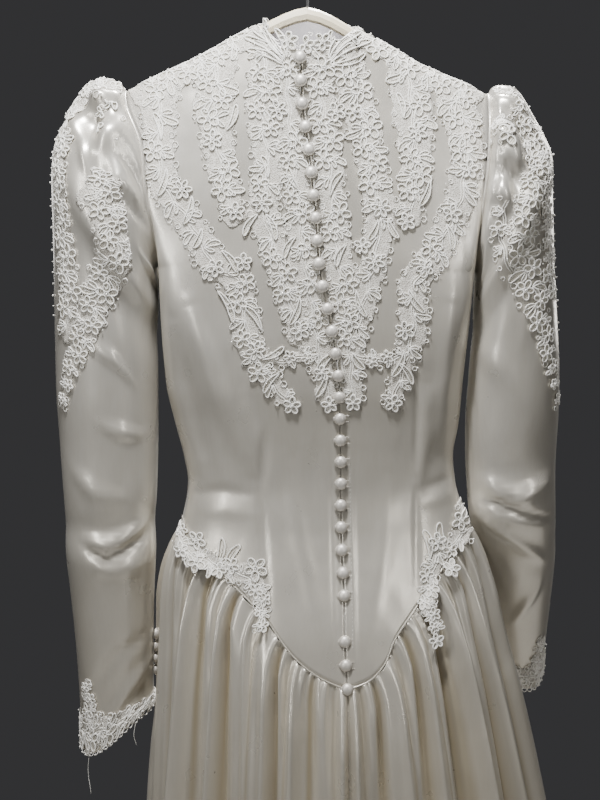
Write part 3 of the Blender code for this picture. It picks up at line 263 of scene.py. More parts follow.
LACE_BACK = {
    LEFT: [
        [Stroke(0.006, -0.128, 0.012), Stroke(0.030, -0.121, 0.012), Stroke(0.050, -0.108, 0.014)],
        [Stroke(0.050, -0.108, 0.014), Stroke(0.103, -0.138, 0.018), Stroke(0.160, -0.165, 0.020)],
        [Stroke(0.145, -0.165, 0.024), Stroke(0.146, -0.215, 0.018), Stroke(0.143, -0.258, 0.018),
         Stroke(0.119, -0.289, 0.017), Stroke(0.090, -0.340, 0.017), Stroke(0.066, -0.352, 0.016),
         Stroke(0.058, -0.411, 0.017), Stroke(0.042, -0.446, 0.014), Stroke(0.016, -0.476, 0.010)],
        [Stroke(0.088, -0.135, 0.022), Stroke(0.091, -0.180, 0.023), Stroke(0.086, -0.230, 0.018),
         Stroke(0.072, -0.289, 0.014)],
        [Stroke(0.040, -0.125, 0.018), Stroke(0.043, -0.190, 0.019), Stroke(0.038, -0.236, 0.017),
         Stroke(0.043, -0.285, 0.018), Stroke(0.027, -0.337, 0.016), Stroke(0.006, -0.407, 0.015)],
        [Stroke(0.021, -0.140, 0.015), Stroke(0.016, -0.207, 0.016), Stroke(0.004, -0.323, 0.016),
         Stroke(-0.008, -0.400, 0.017), Stroke(-0.020, -0.468, 0.012)],
        [Stroke(0.058, -0.425, 0.008), Stroke(0.025, -0.432, 0.008), Stroke(-0.008, -0.425, 0.008)],
    ],
    RIGHT: [
        [Stroke(0.006, -0.128, 0.012), Stroke(-0.022, -0.123, 0.012), Stroke(-0.048, -0.111, 0.014)],
        [Stroke(-0.048, -0.111, 0.014), Stroke(-0.112, -0.146, 0.018), Stroke(-0.159, -0.169, 0.020)],
        [Stroke(-0.147, -0.169, 0.024), Stroke(-0.157, -0.227, 0.018), Stroke(-0.150, -0.275, 0.018),
         Stroke(-0.130, -0.318, 0.017), Stroke(-0.104, -0.355, 0.017), Stroke(-0.105, -0.401, 0.017),
         Stroke(-0.096, -0.436, 0.014), Stroke(-0.084, -0.476, 0.010)],
        [Stroke(-0.098, -0.141, 0.022), Stroke(-0.103, -0.189, 0.023), Stroke(-0.107, -0.236, 0.018),
         Stroke(-0.101, -0.292, 0.014)],
        [Stroke(-0.036, -0.128, 0.018), Stroke(-0.052, -0.190, 0.019), Stroke(-0.062, -0.236, 0.017),
         Stroke(-0.072, -0.285, 0.018), Stroke(-0.066, -0.334, 0.016), Stroke(-0.047, -0.406, 0.015)],
        [Stroke(-0.010, -0.140, 0.015), Stroke(-0.018, -0.207, 0.016), Stroke(-0.030, -0.323, 0.016),
         Stroke(-0.040, -0.400, 0.017), Stroke(-0.046, -0.470, 0.012)],
        [Stroke(-0.102, -0.425, 0.008), Stroke(-0.072, -0.432, 0.008), Stroke(-0.042, -0.425, 0.008)],
    ],
}
LACE_FRONT_HALF = [
    [Stroke(0.0, -0.101, 0.010), Stroke(0.030, -0.104, 0.012), Stroke(0.052, -0.110, 0.014)],
    [Stroke(0.052, -0.110, 0.014), Stroke(0.107, -0.142, 0.018), Stroke(0.160, -0.165, 0.020)],
    [Stroke(0.150, -0.170, 0.022), Stroke(0.146, -0.215, 0.018), Stroke(0.138, -0.270, 0.014)],
    [Stroke(0.092, -0.140, 0.022), Stroke(0.094, -0.190, 0.022), Stroke(0.088, -0.262, 0.015)],
    [Stroke(0.044, -0.115, 0.020), Stroke(0.046, -0.190, 0.020), Stroke(0.040, -0.290, 0.014)],
    [Stroke(0.0, -0.110, 0.016), Stroke(0.0, -0.200, 0.018), Stroke(0.0, -0.320, 0.014)],
]
BUTTON_RADIUS = 6.2 * MM
BUTTON_DOME = 4.2 * MM
BUTTON_EDGE = 1.6 * MM
# Rings of a covered button, from its back to its top: share of the radius, share of the height
BUTTON_PROFILE = [
    (0.0, 0.0), (0.70, 0.02), (0.93, 0.14), (1.0, 0.30), (0.97, 0.48), (0.82, 0.72), (0.55, 0.90),
    (0.25, 0.985), (0.0, 1.0),
]
BUTTON_SIDES = 18
BUTTON_PUCKERS = 9
BUTTON_PUCKER = 0.02
LOOP_REACH = 6.6 * MM
LOOP_HALF = 3.2 * MM
LOOP_TAIL = 9 * MM

# Where the left sleeve lies against the skirt's side and presses it in
SLEEVE_REST = np.array([0.166, -0.020, -0.795])
SLEEVE_REST_SPAN = np.array([0.050, 0.035, 0.050])
SLEEVE_REST_DEPTH = 4 * MM

# The camera stands behind the dress. Places in the photograph's frame are in its pixels
CAMERA = np.array([0.0, 1.55, -0.27])
AIM = np.array([0.007, 0.04, -0.473])
LENS = 68.56
FRAME_MIDDLE = np.array([300.0, 400.0])
FOCAL_PIXELS = 1523.6
BACK_PLANE = 0.05

# Creases seen from behind: a path in pixels, a half width and a rise, which is below zero in a trough
Crease = namedtuple("Crease", "path half rise")
CREASE_SHARE = 1.6
BODICE_CREASES = [
    Crease([(243, 395), (254, 445), (259, 486)], 6.5 * MM, 2.4 * MM),
    Crease([(266, 425), (263, 470), (260, 492)], 4.5 * MM, -1.8 * MM),
    Crease([(260, 492), (264, 540), (270, 604)], 2.6 * MM, -1.3 * MM),
    Crease([(417, 345), (418, 420), (417, 480)], 2.8 * MM, -1.6 * MM),
    Crease([(417, 480), (417, 540), (416, 603)], 2.6 * MM, -1.0 * MM),
    Crease([(428, 380), (427, 440), (421, 486)], 7.0 * MM, 2.0 * MM),
    Crease([(190, 300), (214, 380), (247, 470)], 10.0 * MM, 3.0 * MM),
    Crease([(172, 320), (190, 400), (205, 470)], 9.0 * MM, -2.4 * MM),
    Crease([(452, 300), (448, 380), (440, 450)], 9.0 * MM, 2.6 * MM),
    Crease([(188, 500), (222, 494), (256, 497)], 5.0 * MM, -1.0 * MM),
    Crease([(192, 516), (228, 512), (260, 516)], 6.5 * MM, 0.8 * MM),
    Crease([(420, 492), (440, 488), (460, 480)], 4.5 * MM, -1.0 * MM),
    Crease([(422, 507), (440, 503), (462, 498)], 5.5 * MM, 0.8 * MM),
    Crease([(290, 470), (300, 540), (318, 620)], 9.0 * MM, 1.5 * MM),
    Crease([(390, 470), (385, 540), (372, 620)], 9.0 * MM, 1.4 * MM),
    Crease([(350, 420), (351, 500), (353, 600), (353, 670)], 2.8 * MM, 1.0 * MM),
    Crease([(331, 420), (332, 500), (334, 600), (337, 660)], 2.4 * MM, -0.8 * MM),
]
FRONT_CREASES = [
    Crease([(0.078, -0.395), (0.074, -0.480), (0.066, -0.640)], 2.6 * MM, -1.4 * MM),
    Crease([(0.086, -0.400), (0.084, -0.460), (0.078, -0.520)], 8.0 * MM, 2.0 * MM),
    Crease([(0.145, -0.330), (0.118, -0.345), (0.100, -0.345)], 3.0 * MM, -1.6 * MM),
    Crease([(0.120, -0.230), (0.105, -0.270), (0.098, -0.300)], 9.0 * MM, 2.0 * MM),
    Crease([(0.110, -0.548), (0.080, -0.552), (0.055, -0.560)], 5.0 * MM, -1.4 * MM),
    Crease([(0.112, -0.570), (0.082, -0.574), (0.052, -0.578)], 5.5 * MM, 1.4 * MM),
]
SLEEVE_CREASES = {
    LEFT: [
        Crease([(80, 549), (105, 557), (151, 532)], 3.6 * MM, -3.4 * MM),
        Crease([(82, 538), (110, 545), (150, 518)], 5.0 * MM, 3.0 * MM),
        Crease([(88, 566), (112, 572), (148, 556)], 5.0 * MM, 2.0 * MM),
        Crease([(96, 350), (115, 362), (134, 381)], 6.0 * MM, 2.2 * MM),
        Crease([(99, 423), (120, 430), (145, 432)], 6.0 * MM, 2.2 * MM),
        Crease([(70, 470), (95, 492), (130, 500)], 8.0 * MM, 1.6 * MM),
        Crease([(152, 655), (130, 690), (105, 725)], 6.0 * MM, 2.6 * MM),
        Crease([(150, 628), (118, 652), (96, 690)], 6.0 * MM, -1.8 * MM),
        Crease([(140, 252), (150, 270), (157, 288)], 5.0 * MM, 2.4 * MM),
        Crease([(120, 134), (138, 154), (154, 184)], 4.6 * MM, 3.4 * MM),
        Crease([(118, 150), (134, 172), (150, 198)], 5.0 * MM, -3.6 * MM),
        Crease([(112, 176), (132, 192), (156, 212)], 4.6 * MM, 2.8 * MM),
        Crease([(118, 200), (136, 214), (156, 236)], 5.0 * MM, -2.2 * MM),
        Crease([(82, 98), (93, 118), (97, 146)], 8.5 * MM, -4.2 * MM),
        Crease([(70, 112), (78, 138), (86, 172)], 5.0 * MM, 3.0 * MM),
        Crease([(80, 92), (100, 98), (116, 116)], 5.0 * MM, 2.6 * MM),
    ],
    RIGHT: [
        Crease([(475, 493), (510, 508), (554, 516)], 3.6 * MM, -3.6 * MM),
        Crease([(512, 503), (534, 494), (552, 480)], 5.0 * MM, 3.4 * MM),
        Crease([(482, 518), (515, 540), (549, 562)], 5.0 * MM, 2.8 * MM),
        Crease([(478, 480), (505, 492), (530, 498)], 5.0 * MM, 2.6 * MM),
        Crease([(475, 350), (476, 420), (475, 490)], 2.4 * MM, -1.0 * MM),
        Crease([(474, 152), (498, 156), (530, 172)], 4.8 * MM, 3.4 * MM),
        Crease([(474, 168), (498, 174), (526, 188)], 5.0 * MM, -3.6 * MM),
        Crease([(474, 186), (496, 192), (518, 206)], 4.6 * MM, 2.8 * MM),
        Crease([(512, 100), (522, 118), (534, 140)], 6.0 * MM, -3.4 * MM),
        Crease([(486, 106), (489, 128), (483, 150)], 3.0 * MM, -2.0 * MM),
        Crease([(498, 104), (504, 126), (500, 150)], 3.4 * MM, 2.0 * MM),
        Crease([(482, 200), (487, 240), (480, 290)], 6.0 * MM, 2.4 * MM),
        Crease([(480, 340), (505, 372), (530, 420)], 8.0 * MM, 1.6 * MM),
        Crease([(545, 570), (530, 600), (512, 625)], 6.0 * MM, 2.2 * MM),
    ],
}

# Lace on the sleeves' visible side, in pixels, with half widths in metres
Seen = namedtuple("Seen", "px py half")
SLEEVE_LACE = {
    LEFT: [
        [Seen(98, 88, 0.012), Seen(112, 122, 0.011), Seen(110, 165, 0.017), Seen(104, 200, 0.019),
         Seen(116, 240, 0.020), Seen(100, 290, 0.020), Seen(84, 330, 0.017), Seen(70, 372, 0.010),
         Seen(63, 405, 0.006)],
        [Seen(76, 104, 0.012), Seen(64, 140, 0.013), Seen(60, 190, 0.014), Seen(64, 240, 0.015),
         Seen(68, 290, 0.017), Seen(66, 335, 0.013)],
        [Seen(70, 112, 0.012), Seen(84, 94, 0.012), Seen(104, 86, 0.012), Seen(118, 96, 0.010)],
        [Seen(112, 96, 0.012), Seen(118, 112, 0.012)],
        [Seen(84, 196, 0.013), Seen(112, 204, 0.014), Seen(138, 208, 0.011)],
        [Seen(120, 236, 0.013), Seen(138, 258, 0.010)],
    ],
    RIGHT: [
        [Seen(506, 100, 0.012), Seen(528, 130, 0.012), Seen(536, 165, 0.016), Seen(528, 200, 0.015),
         Seen(524, 245, 0.020), Seen(532, 290, 0.020), Seen(544, 330, 0.014), Seen(552, 375, 0.009),
         Seen(556, 405, 0.006)],
        [Seen(494, 98, 0.010), Seen(510, 96, 0.012), Seen(528, 112, 0.012), Seen(540, 134, 0.012)],
        [Seen(498, 100, 0.011), Seen(502, 122, 0.012), Seen(514, 144, 0.012)],
        [Seen(540, 150, 0.012), Seen(546, 200, 0.012), Seen(548, 250, 0.013), Seen(550, 300, 0.013)],
        [Seen(508, 200, 0.011), Seen(500, 240, 0.013), Seen(512, 275, 0.012)],
    ],
}
CUFF_BAND = 0.011
CUFF_PEAK = 0.058
CUFF_LOOP_PITCH = 7 * MM
CAP_BEADS = 36
# The left cuff's loose threads: place round the cuff and length
LOOSE_THREADS = ((0.030, 0.045), (0.095, 0.028))
SPRAY_PITCH = 17.5 * MM
FRONT_SPRAY_PITCH = 15 * MM
HIP_SPRAY_PITCH = 12 * MM
CUFF_SPRAY_PITCH = 11 * MM
HIP_CURL_HALF = 4.5 * MM
BIG_BLOOM = 9 * MM
# The lace's cords: radius, and how far each lies off the cloth. A chosen motif's are bolder
CordLook = namedtuple("CordLook", "radius lift")
PETAL_CORD = {True: CordLook(0.98 * MM, 2.0 * MM), False: CordLook(0.86 * MM, 1.7 * MM)}
LEAF_CORD = {True: CordLook(0.9 * MM, 1.9 * MM), False: CordLook(0.8 * MM, 1.5 * MM)}
INNER_PETAL_CORD = CordLook(0.5 * MM, 1.2 * MM)
HEART_CORD = CordLook(0.6 * MM, 1.8 * MM)
RIB_CORD = CordLook(0.45 * MM, 1.0 * MM)
EDGE_CORD = CordLook(0.6 * MM, 1.0 * MM)
STEM_CORD = CordLook(0.65 * MM, 0.9 * MM)
LOOSE_CORD = CordLook(0.28 * MM, 1.0 * MM)
LOOP_CORD = CordLook(0.8 * MM, 0.9 * MM)
STITCH_CORD = CordLook(0.32 * MM, 0.2 * MM)
LOST_THREAD_CORD = CordLook(0.3 * MM, 1.0 * MM)
CORD_FLAT = 0.85
FILL_LIFT = 0.9 * MM
PETAL_DOME = -0.3 * MM
LEAF_DOME = 0.1 * MM
BEAD_LIFT = 1.5 * MM
LEAF_BEND = 0.10
RIBBED_LENGTH = 11 * MM
FAN_LEAVES = 3
FAN_SPREAD = 1.25
EDGE_LOOP = 2.6 * MM
EDGE_LOOP_PITCH = 10.5 * MM
STEM_PITCH = 3.5 * MM
STEM_HALF = 1.2 * MM
# Topstitches: their line in pixels, its points' pitch, and the points of a stitch alone and with its gap
STITCH_LINE = [(350, 470), (351, 540), (352, 640)]
STITCH_PITCH = 1.0 * MM
STITCH_POINTS = 3
STITCH_REPEAT = 4
# The lost button's place in pixels, and the lengths of the threads left there
LOST_BUTTON = (339, 607)
LOST_THREADS = (0.012, 0.017, 0.022)

# Flowers that stand out on the back: place in pixels and radius
Bloom = namedtuple("Bloom", "px py radius")
BLOOMS = [
    Bloom(289, 40, 0.0090), Bloom(305, 44, 0.0085), Bloom(322, 41, 0.0085), Bloom(262, 203, 0.0100),
    Bloom(381, 208, 0.0100), Bloom(292, 405, 0.0085), Bloom(393, 403, 0.0085), Bloom(330, 404, 0.0080),
    Bloom(353, 402, 0.0080), Bloom(236, 212, 0.0090), Bloom(406, 222, 0.0085), Bloom(212, 140, 0.0095),
    Bloom(418, 132, 0.0095), Bloom(278, 110, 0.0095), Bloom(336, 112, 0.0090), Bloom(244, 262, 0.0085),
    Bloom(374, 262, 0.0095), Bloom(362, 246, 0.0080), Bloom(256, 350, 0.0095), Bloom(404, 330, 0.0095),
    Bloom(350, 322, 0.0090), Bloom(300, 330, 0.0090), Bloom(322, 372, 0.0080), Bloom(182, 190, 0.0095),
    Bloom(470, 170, 0.0090), Bloom(452, 214, 0.0090), Bloom(216, 268, 0.0085), Bloom(424, 268, 0.0085),
]

# The hips' lace, in pixels: sprays, chosen flowers and curls from their base to their tip
HIP_SPRAY = {
    LEFT: [
        [Seen(176, 532, 0.008), Seen(180, 552, 0.012), Seen(196, 560, 0.013), Seen(222, 568, 0.011),
         Seen(248, 574, 0.013), Seen(262, 590, 0.010), Seen(263, 608, 0.007), Seen(260, 624, 0.005)],
    ],
    RIGHT: [
        [Seen(466, 512, 0.008), Seen(474, 534, 0.011), Seen(456, 546, 0.013), Seen(438, 556, 0.012),
         Seen(430, 576, 0.011), Seen(426, 600, 0.009), Seen(434, 622, 0.007), Seen(434, 638, 0.006)],
    ],
}
HIP_BLOOMS = {
    LEFT: [Bloom(196, 545, 0.0090), Bloom(256, 568, 0.0115), Bloom(180, 555, 0.0070)],
    RIGHT: [
        Bloom(463, 527, 0.0100), Bloom(438, 545, 0.0090), Bloom(434, 634, 0.0070), Bloom(452, 570, 0.0080),
    ],
}
HIP_CURLS = {
    LEFT: [(215, 568, 222, 540), (226, 572, 240, 546)],
    RIGHT: [(430, 560, 424, 532), (446, 548, 440, 526)],
}

# Long ribbed leaves on the back, from stem to tip in pixels, with half widths
Leaf = namedtuple("Leaf", "px py tip_px tip_py half")
LEAVES = [
    Leaf(284, 62, 243, 34, 0.0042), Leaf(285, 60, 252, 26, 0.0042), Leaf(286, 58, 264, 24, 0.0038),
    Leaf(287, 57, 276, 27, 0.0032), Leaf(283, 64, 246, 48, 0.0036), Leaf(330, 62, 372, 38, 0.0042),
    Leaf(329, 60, 362, 28, 0.0042), Leaf(328, 58, 350, 26, 0.0036), Leaf(331, 64, 366, 52, 0.0036),
    Leaf(268, 178, 262, 156, 0.0034), Leaf(258, 214, 244, 236, 0.0036), Leaf(266, 214, 276, 240, 0.0036),
    Leaf(378, 220, 368, 240, 0.0034), Leaf(388, 218, 398, 238, 0.0034), Leaf(192, 196, 184, 224, 0.0038),
    Leaf(202, 228, 194, 248, 0.0036), Leaf(222, 250, 238, 272, 0.0038), Leaf(218, 290, 234, 322, 0.0036),
    Leaf(262, 330, 246, 306, 0.0036), Leaf(262, 358, 284, 346, 0.0036), Leaf(280, 372, 264, 392, 0.0034),
    Leaf(334, 352, 318, 372, 0.0044), Leaf(340, 354, 344, 382, 0.0044), Leaf(352, 352, 364, 368, 0.0040),
    Leaf(326, 372, 316, 396, 0.0036), Leaf(300, 296, 290, 324, 0.0034), Leaf(356, 290, 366, 316, 0.0034),
    Leaf(408, 288, 424, 312, 0.0036), Leaf(404, 350, 392, 376, 0.0034), Leaf(398, 362, 412, 384, 0.0032),
    Leaf(446, 224, 452, 250, 0.0036), Leaf(430, 262, 414, 284, 0.0036), Leaf(464, 182, 476, 206, 0.0036),
    Leaf(226, 130, 236, 104, 0.0036), Leaf(404, 118, 398, 92, 0.0036), Leaf(300, 190, 288, 168, 0.0034),
    Leaf(330, 196, 342, 172, 0.0034), Leaf(296, 236, 284, 258, 0.0034), Leaf(346, 244, 336, 266, 0.0034),
    Leaf(160, 140, 152, 112, 0.0036), Leaf(166, 168, 158, 196, 0.0036), Leaf(430, 180, 420, 206, 0.0036),
]

# Wandering numbers without chance: the same each run
GOLDEN = 0.6180339887
# Where each lace's row of such numbers starts
DRAWS = {
    "back": {LEFT: 40, RIGHT: 90},
    "front": {LEFT: 140, RIGHT: 190},
    "hip": {LEFT: 240, RIGHT: 280},
    "sleeve": {LEFT: 320, RIGHT: 360},
    "cuff": {LEFT: 400, RIGHT: 440},
}

# Looks
IVORY_LIGHT = (0.640, 0.615, 0.560, 1)
IVORY_DEEP = (0.560, 0.530, 0.465, 1)
# Painted shade in the skirt's folds; the satin's slub streaks take this colour too
FOLD_SHADE_AND_SLUB = (0.340, 0.270, 0.150, 1)
# Painted shade: the satin's colour towards the hem
LOW_SHADE = (0.500, 0.450, 0.355, 1)
THREAD_WHITE = (0.930, 0.915, 0.870, 1)
THREAD_DEEP = (0.780, 0.755, 0.690, 1)
FILL_PALE = (0.690, 0.665, 0.600, 1)
FILL_DEEP = (0.420, 0.395, 0.325, 1)
NET_PALE = (0.660, 0.635, 0.580, 1)
# Painted shade: the net's holes, darker than the satin under them
NET_HOLE_SHADE = (0.420, 0.390, 0.335, 1)
LINING_GREY = (0.600, 0.580, 0.600, 1)
LINING_DEEP = (0.540, 0.520, 0.540, 1)
# Painted shade in the lining's folds; its slub streaks take this colour too
LINING_FOLD_SHADE_AND_SLUB = (0.500, 0.460, 0.420, 1)
BUTTON_LIGHT = (0.740, 0.715, 0.680, 1)
BUTTON_DEEP = (0.660, 0.630, 0.580, 1)
PEARL = (0.880, 0.860, 0.820, 1)
PLASTIC_PALE = (0.780, 0.710, 0.550, 1)
PLASTIC_DEEP = (0.680, 0.600, 0.430, 1)
CHROME_PALE = (0.720, 0.720, 0.730, 1)
CHROME_DULL = (0.600, 0.590, 0.570, 1)
FLOOR_PALE = (0.620, 0.610, 0.590, 1)
FLOOR_DEEP = (0.570, 0.560, 0.540, 1)
STUDIO_GREY = (0.038, 0.038, 0.040, 1)
SOCKETS = {
    "rough": "Roughness", "metal": "Metallic", "spec": "Specular IOR Level", "sheen": "Sheen Weight",
    "sheen_rough": "Sheen Roughness", "coat": "Coat Weight", "coat_rough": "Coat Roughness",
}

FLOOR_HEIGHT = -1.68
FLOOR_RADIUS = 1.5
FLOOR_SIDES = 64
SENSOR = 36
Light = namedtuple("Light", "name place target size power colour")
LIGHTS = [
    Light("key", (0.14, 0.50, 0.62), (-0.01, 0, -0.28), (0.20, 0.20), 32, (0.985, 0.99, 1.0)),
    Light("strip", (0.95, 1.15, 0.00), (0, 0, -0.45), (0.10, 1.0), 8.5, (1.0, 0.99, 0.96)),
    Light("low_strip", (-0.80, 1.30, 0.00), (0, 0, -0.45), (0.09, 0.9), 4.5, (1.0, 0.98, 0.94)),
    Light("far_key", (-0.22, -0.78, 0.86), (0, 0, -0.28), (0.26, 0.26), 52, (1.0, 0.99, 0.98)),
    Light("far_strip", (-1.05, -1.25, 0.0), (0, 0, -0.55), (0.20, 1.1), 11, (1.0, 0.985, 0.95)),
    Light("far_fill", (0.9, -1.7, 0.0), (0, 0, -0.7), (0.5, 0.9), 7, (1.0, 0.98, 0.95)),
]


def cubic(xs, ys, at):
    """Values at `at` of a smooth curve through the points, which never overshoots them."""
    xs, ys, at = (np.asarray(each, float) for each in (xs, ys, at))
    steps = np.diff(xs)
    slopes = np.diff(ys) / steps
    tangents = np.concatenate([slopes[:1], np.zeros(len(xs) - 2), slopes[-1:]])
    product = slopes[:-1] * slopes[1:]
    inner = product > 0
    tangents[1:-1][inner] = 2 * product[inner] / (slopes[:-1] + slopes[1:])[inner]
    i = np.clip(np.searchsorted(xs, at) - 1, 0, len(xs) - 2)
    t = np.clip((at - xs[i]) / steps[i], 0, 1)
    h = steps[i]
    return (
        ys[i] * (1 + 2 * t) * (1 - t) ** 2
        + tangents[i] * h * t * (1 - t) ** 2
        + ys[i + 1] * t * t * (3 - 2 * t)
        + tangents[i + 1] * h * t * t * (t - 1)
    )


def column(table, by, name, at):
    """A named column of a table, as a smooth curve over another of its columns."""
    return cubic([getattr(row, by) for row in table], [getattr(row, name) for row in table], at)


def body(name, z):
    return column(BODY, "z", name, z)


def edge_name(side):
    return "left" if side == LEFT else "right"


def depth_name(facing):
    return "back" if facing == BACK else "front"


def waist_height(side, share, facing):
    table = WAIST_BACK if facing == BACK else WAIST_FRONT
    return column(table, "share", edge_name(side), share)


def centre_line(z, facing):
    """The back's middle leans with the buttons. The front's moves to half way across."""
    if facing == BACK:
        return body("centre", z)
    lean = np.clip((SHARE_HEIGHT - z) / FRONT_MIDDLE_OVER, 0, 1)
    return (body("left", z) + body("right", z)) / 2 * lean


def across(side, share, z, facing):
    """x at a share of the way from the middle line to the side."""
    centre = centre_line(z, facing)
    return centre + (body(edge_name(side), z) - centre) * share


def share_of(side, x, z, facing):
    """The share of the way from the middle line to the side at which x lies."""
    centre = centre_line(z, facing)
    return (x - centre) / (body(edge_name(side), z) - centre)


def armhole_reach(side, z, facing):
    """How far the armhole's edge stands behind or in front of the side, at a height."""
    top = SHOULDERS[side][-1].z
    middle = (top + ARMHOLE_BOTTOM[side]) / 2
    half = (top - ARMHOLE_BOTTOM[side]) / 2
    return ARMHOLE_REACH[facing] * np.sqrt(np.clip(1 - ((z - middle) / half) ** 2, 0, 1))


def body_depth(side, x, z, facing):
    """How far the body's surface stands out from y = 0, before the fall from the shoulders."""
    left, right = body("left", z), body("right", z)
    place = np.abs((x - (left + right) / 2) / ((left - right) / 2))
    off_armpit = (np.hypot(z - ARMHOLE_BOTTOM[side], ARMPIT_SOFT) - ARMPIT_SOFT) / ARMPIT_TALL
    square = BODY_SQUARENESS + ARMPIT_SQUARENESS * np.exp(-off_armpit)
    bow = np.clip(1 - place**square, 0, 1) ** (1 / square)
    reach = armhole_reach(side, z, facing)
    rim = np.clip(place, 0, 1) ** 24
    reach = reach * (rim + (1 - rim) * reach / ARMHOLE_REACH[facing])
    depth = reach + (body(depth_name(facing), z) - reach) * bow
    if facing == FRONT:
        middle = (left + right) / 2
        wide = np.exp(-(((np.abs(x - middle) - BUST_X) / BUST_WIDE) ** 2))
        depth = depth + BUST_OUT * wide * np.exp(-(((z - BUST_Z) / BUST_TALL) ** 2))
    return depth


def top_edge(side, x, facing):
    """Height and outward place of the neck or shoulder edge at x."""
    line = SHOULDERS[side]
    neck = NECK[facing]
    along = np.clip((x - neck.x) / (line[0].x - neck.x), 0, 1)
    shoulder = np.interp(x * side, [row.x * side for row in line], [row.z for row in line])
    on_neck = along < 1
    height = np.where(on_neck, neck.z + (line[0].z - neck.z) * along**neck.power, shoulder)
    out = np.where(on_neck, neck.out * np.sqrt(1 - along**2), 0)
    return height, out


def edge_over(side, share, facing):
    """Height and outward place of the top edge over a width share."""
    level = np.full_like(share, SHARE_HEIGHT)
    return top_edge(side, across(side, share, level, facing), facing)


def bodice_shares(side):
    """Column places: those on the neck, then those from the neck point to the side."""
    neck = NECK_SHARE[side]
    beyond = [neck + (1 - neck) * place for place in SIDE_COLUMNS]
    return [neck * place for place in NECK_COLUMNS] + beyond


def unit(vectors):
    return vectors / np.maximum(np.linalg.norm(vectors, axis=-1, keepdims=True), 1e-12)


def run_along(path):
    """Length from a path's start to each of its points."""
    return np.concatenate([[0], np.cumsum(np.linalg.norm(np.diff(path, axis=0), axis=1))])


def on_circle(count):
    """Angles spread evenly round a circle."""
    return np.linspace(0, 2 * math.pi, count, endpoint=False)


def wave_points(turns):
    """The unit circle's points at some angles."""
    return np.stack([np.cos(turns), np.sin(turns)], axis=1)


def headed(angle):
    """The way ahead at an angle, and the way aside to its left."""
    ahead = np.array([math.cos(angle), math.sin(angle)])
    return ahead, np.array([-ahead[1], ahead[0]])


def linked(name, data):
    """A new object in the scene."""
    made = bpy.data.objects.new(name, data)
    bpy.context.scene.collection.objects.link(made)
    return made


def middle_of(node):
    low, high = (np.array(corner[:]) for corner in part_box(node))
    return (low + high) / 2


def surface_area(points, triangles):
    corners = points[np.array(triangles)]
    sides = corners[:, 1:] - corners[:, :1]
    return np.linalg.norm(np.cross(sides[:, 0], sides[:, 1]), axis=1).sum() / 2


def cell_triangles(rows, columns, closed):
    """Triangles of a grid's cells, every cell split along the same diagonal."""
    found = []
    for row in range(rows - 1):
        for col in range(columns if closed else columns - 1):
            right = (col + 1) % columns
            a, b = row * columns + col, row * columns + right
            c, d = (row + 1) * columns + right, (row + 1) * columns + col
            found += [(a, b, c), (a, c, d)]
    return found


def grid_normals(grid, closed=False):
    """Unit normals of a grid of points, each the mean of the facets round it."""
    rows, columns = grid.shape[:2]
    triangles = np.array(cell_triangles(rows, columns, closed))
    points = grid.reshape(-1, 3)
    a, b, c = (points[triangles[:, corner]] for corner in range(3))
    facets = unit(np.cross(b - a, c - a))
    normals = np.zeros_like(points)
    for corner in range(3):
        np.add.at(normals, triangles[:, corner], facets)
    return -unit(normals).reshape(grid.shape)


def thicken(points, normals, triangles, lift):
    """The slab between a surface and a lift off it."""
    count = len(points)
    both = np.concatenate([points, points + normals * lift])
    faces = list(triangles) + [(a + count, c + count, b + count) for a, b, c in triangles]
    ends = {}
    for triangle in triangles:
        for a, b in zip(triangle, triangle[1:] + triangle[:1]):
            if (b, a) in ends:
                del ends[b, a]
            else:
                ends[a, b] = True
    for a, b in ends:
        faces += [(b, a, a + count), (b, a + count, b + count)]
    return both, faces


def largest_patch(triangles):
    """The triangles of the biggest connected patch."""
    parent = {}

    def root(i):
        while parent.setdefault(i, i) != i:
            parent[i] = parent[parent[i]]
            i = parent[i]
        return i

    for a, b, c in triangles:
        parent[root(a)] = root(b)
        parent[root(b)] = root(c)
    sizes = {}
    for triangle in triangles:
        sizes[root(triangle[0])] = sizes.get(root(triangle[0]), 0) + 1
    best = max(sizes, key=sizes.get)
    return [triangle for triangle in triangles if root(triangle[0]) == best]


def clip_to_field(points, triangles, field):
    """The part of a surface where the field is positive, cut along its edge."""
    points, kept, cuts = list(points), [], {}

    def cut(i, j):
        key = (min(i, j), max(i, j))
        if key not in cuts:
            share = np.clip(field[key[0]] / (field[key[0]] - field[key[1]]), 0.2, 0.8)
            cuts[key] = len(points)
            points.append(points[key[0]] * (1 - share) + points[key[1]] * share)
        return cuts[key]

    for triangle in triangles:
        ring = []
        for i, j in zip(triangle, triangle[1:] + triangle[:1]):
            if field[i] > 0:
                ring.append(i)
            if (field[i] > 0) != (field[j] > 0):
                ring.append(cut(i, j))
        kept += [(ring[0], ring[k], ring[k + 1]) for k in range(1, len(ring) - 1)]
    kept = largest_patch(kept)
    used = sorted({i for triangle in kept for i in triangle})
    place = {old: new for new, old in enumerate(used)}
    return np.array([points[i] for i in used]), [tuple(place[i] for i in triangle) for triangle in kept]


def stroke_field(strokes, x, z):
    """How far inside the nearest stroke each place is, with a lobed edge."""
    best = np.full(np.shape(x), -1.0)
    for stroke in strokes:
        for start, end in zip(stroke[:-1], stroke[1:]):
            dx, dz = end.x - start.x, end.z - start.z
            along = np.clip(((x - start.x) * dx + (z - start.z) * dz) / (dx * dx + dz * dz), 0, 1)
            gap = np.hypot(x - start.x - along * dx, z - start.z - along * dz)
            best = np.maximum(best, start.half + (end.half - start.half) * along - gap)
    turn = 2 * math.pi / LACE_LOBE_PITCH
    return best + LACE_LOBE * np.sin(turn * x) * np.sin(turn * z)


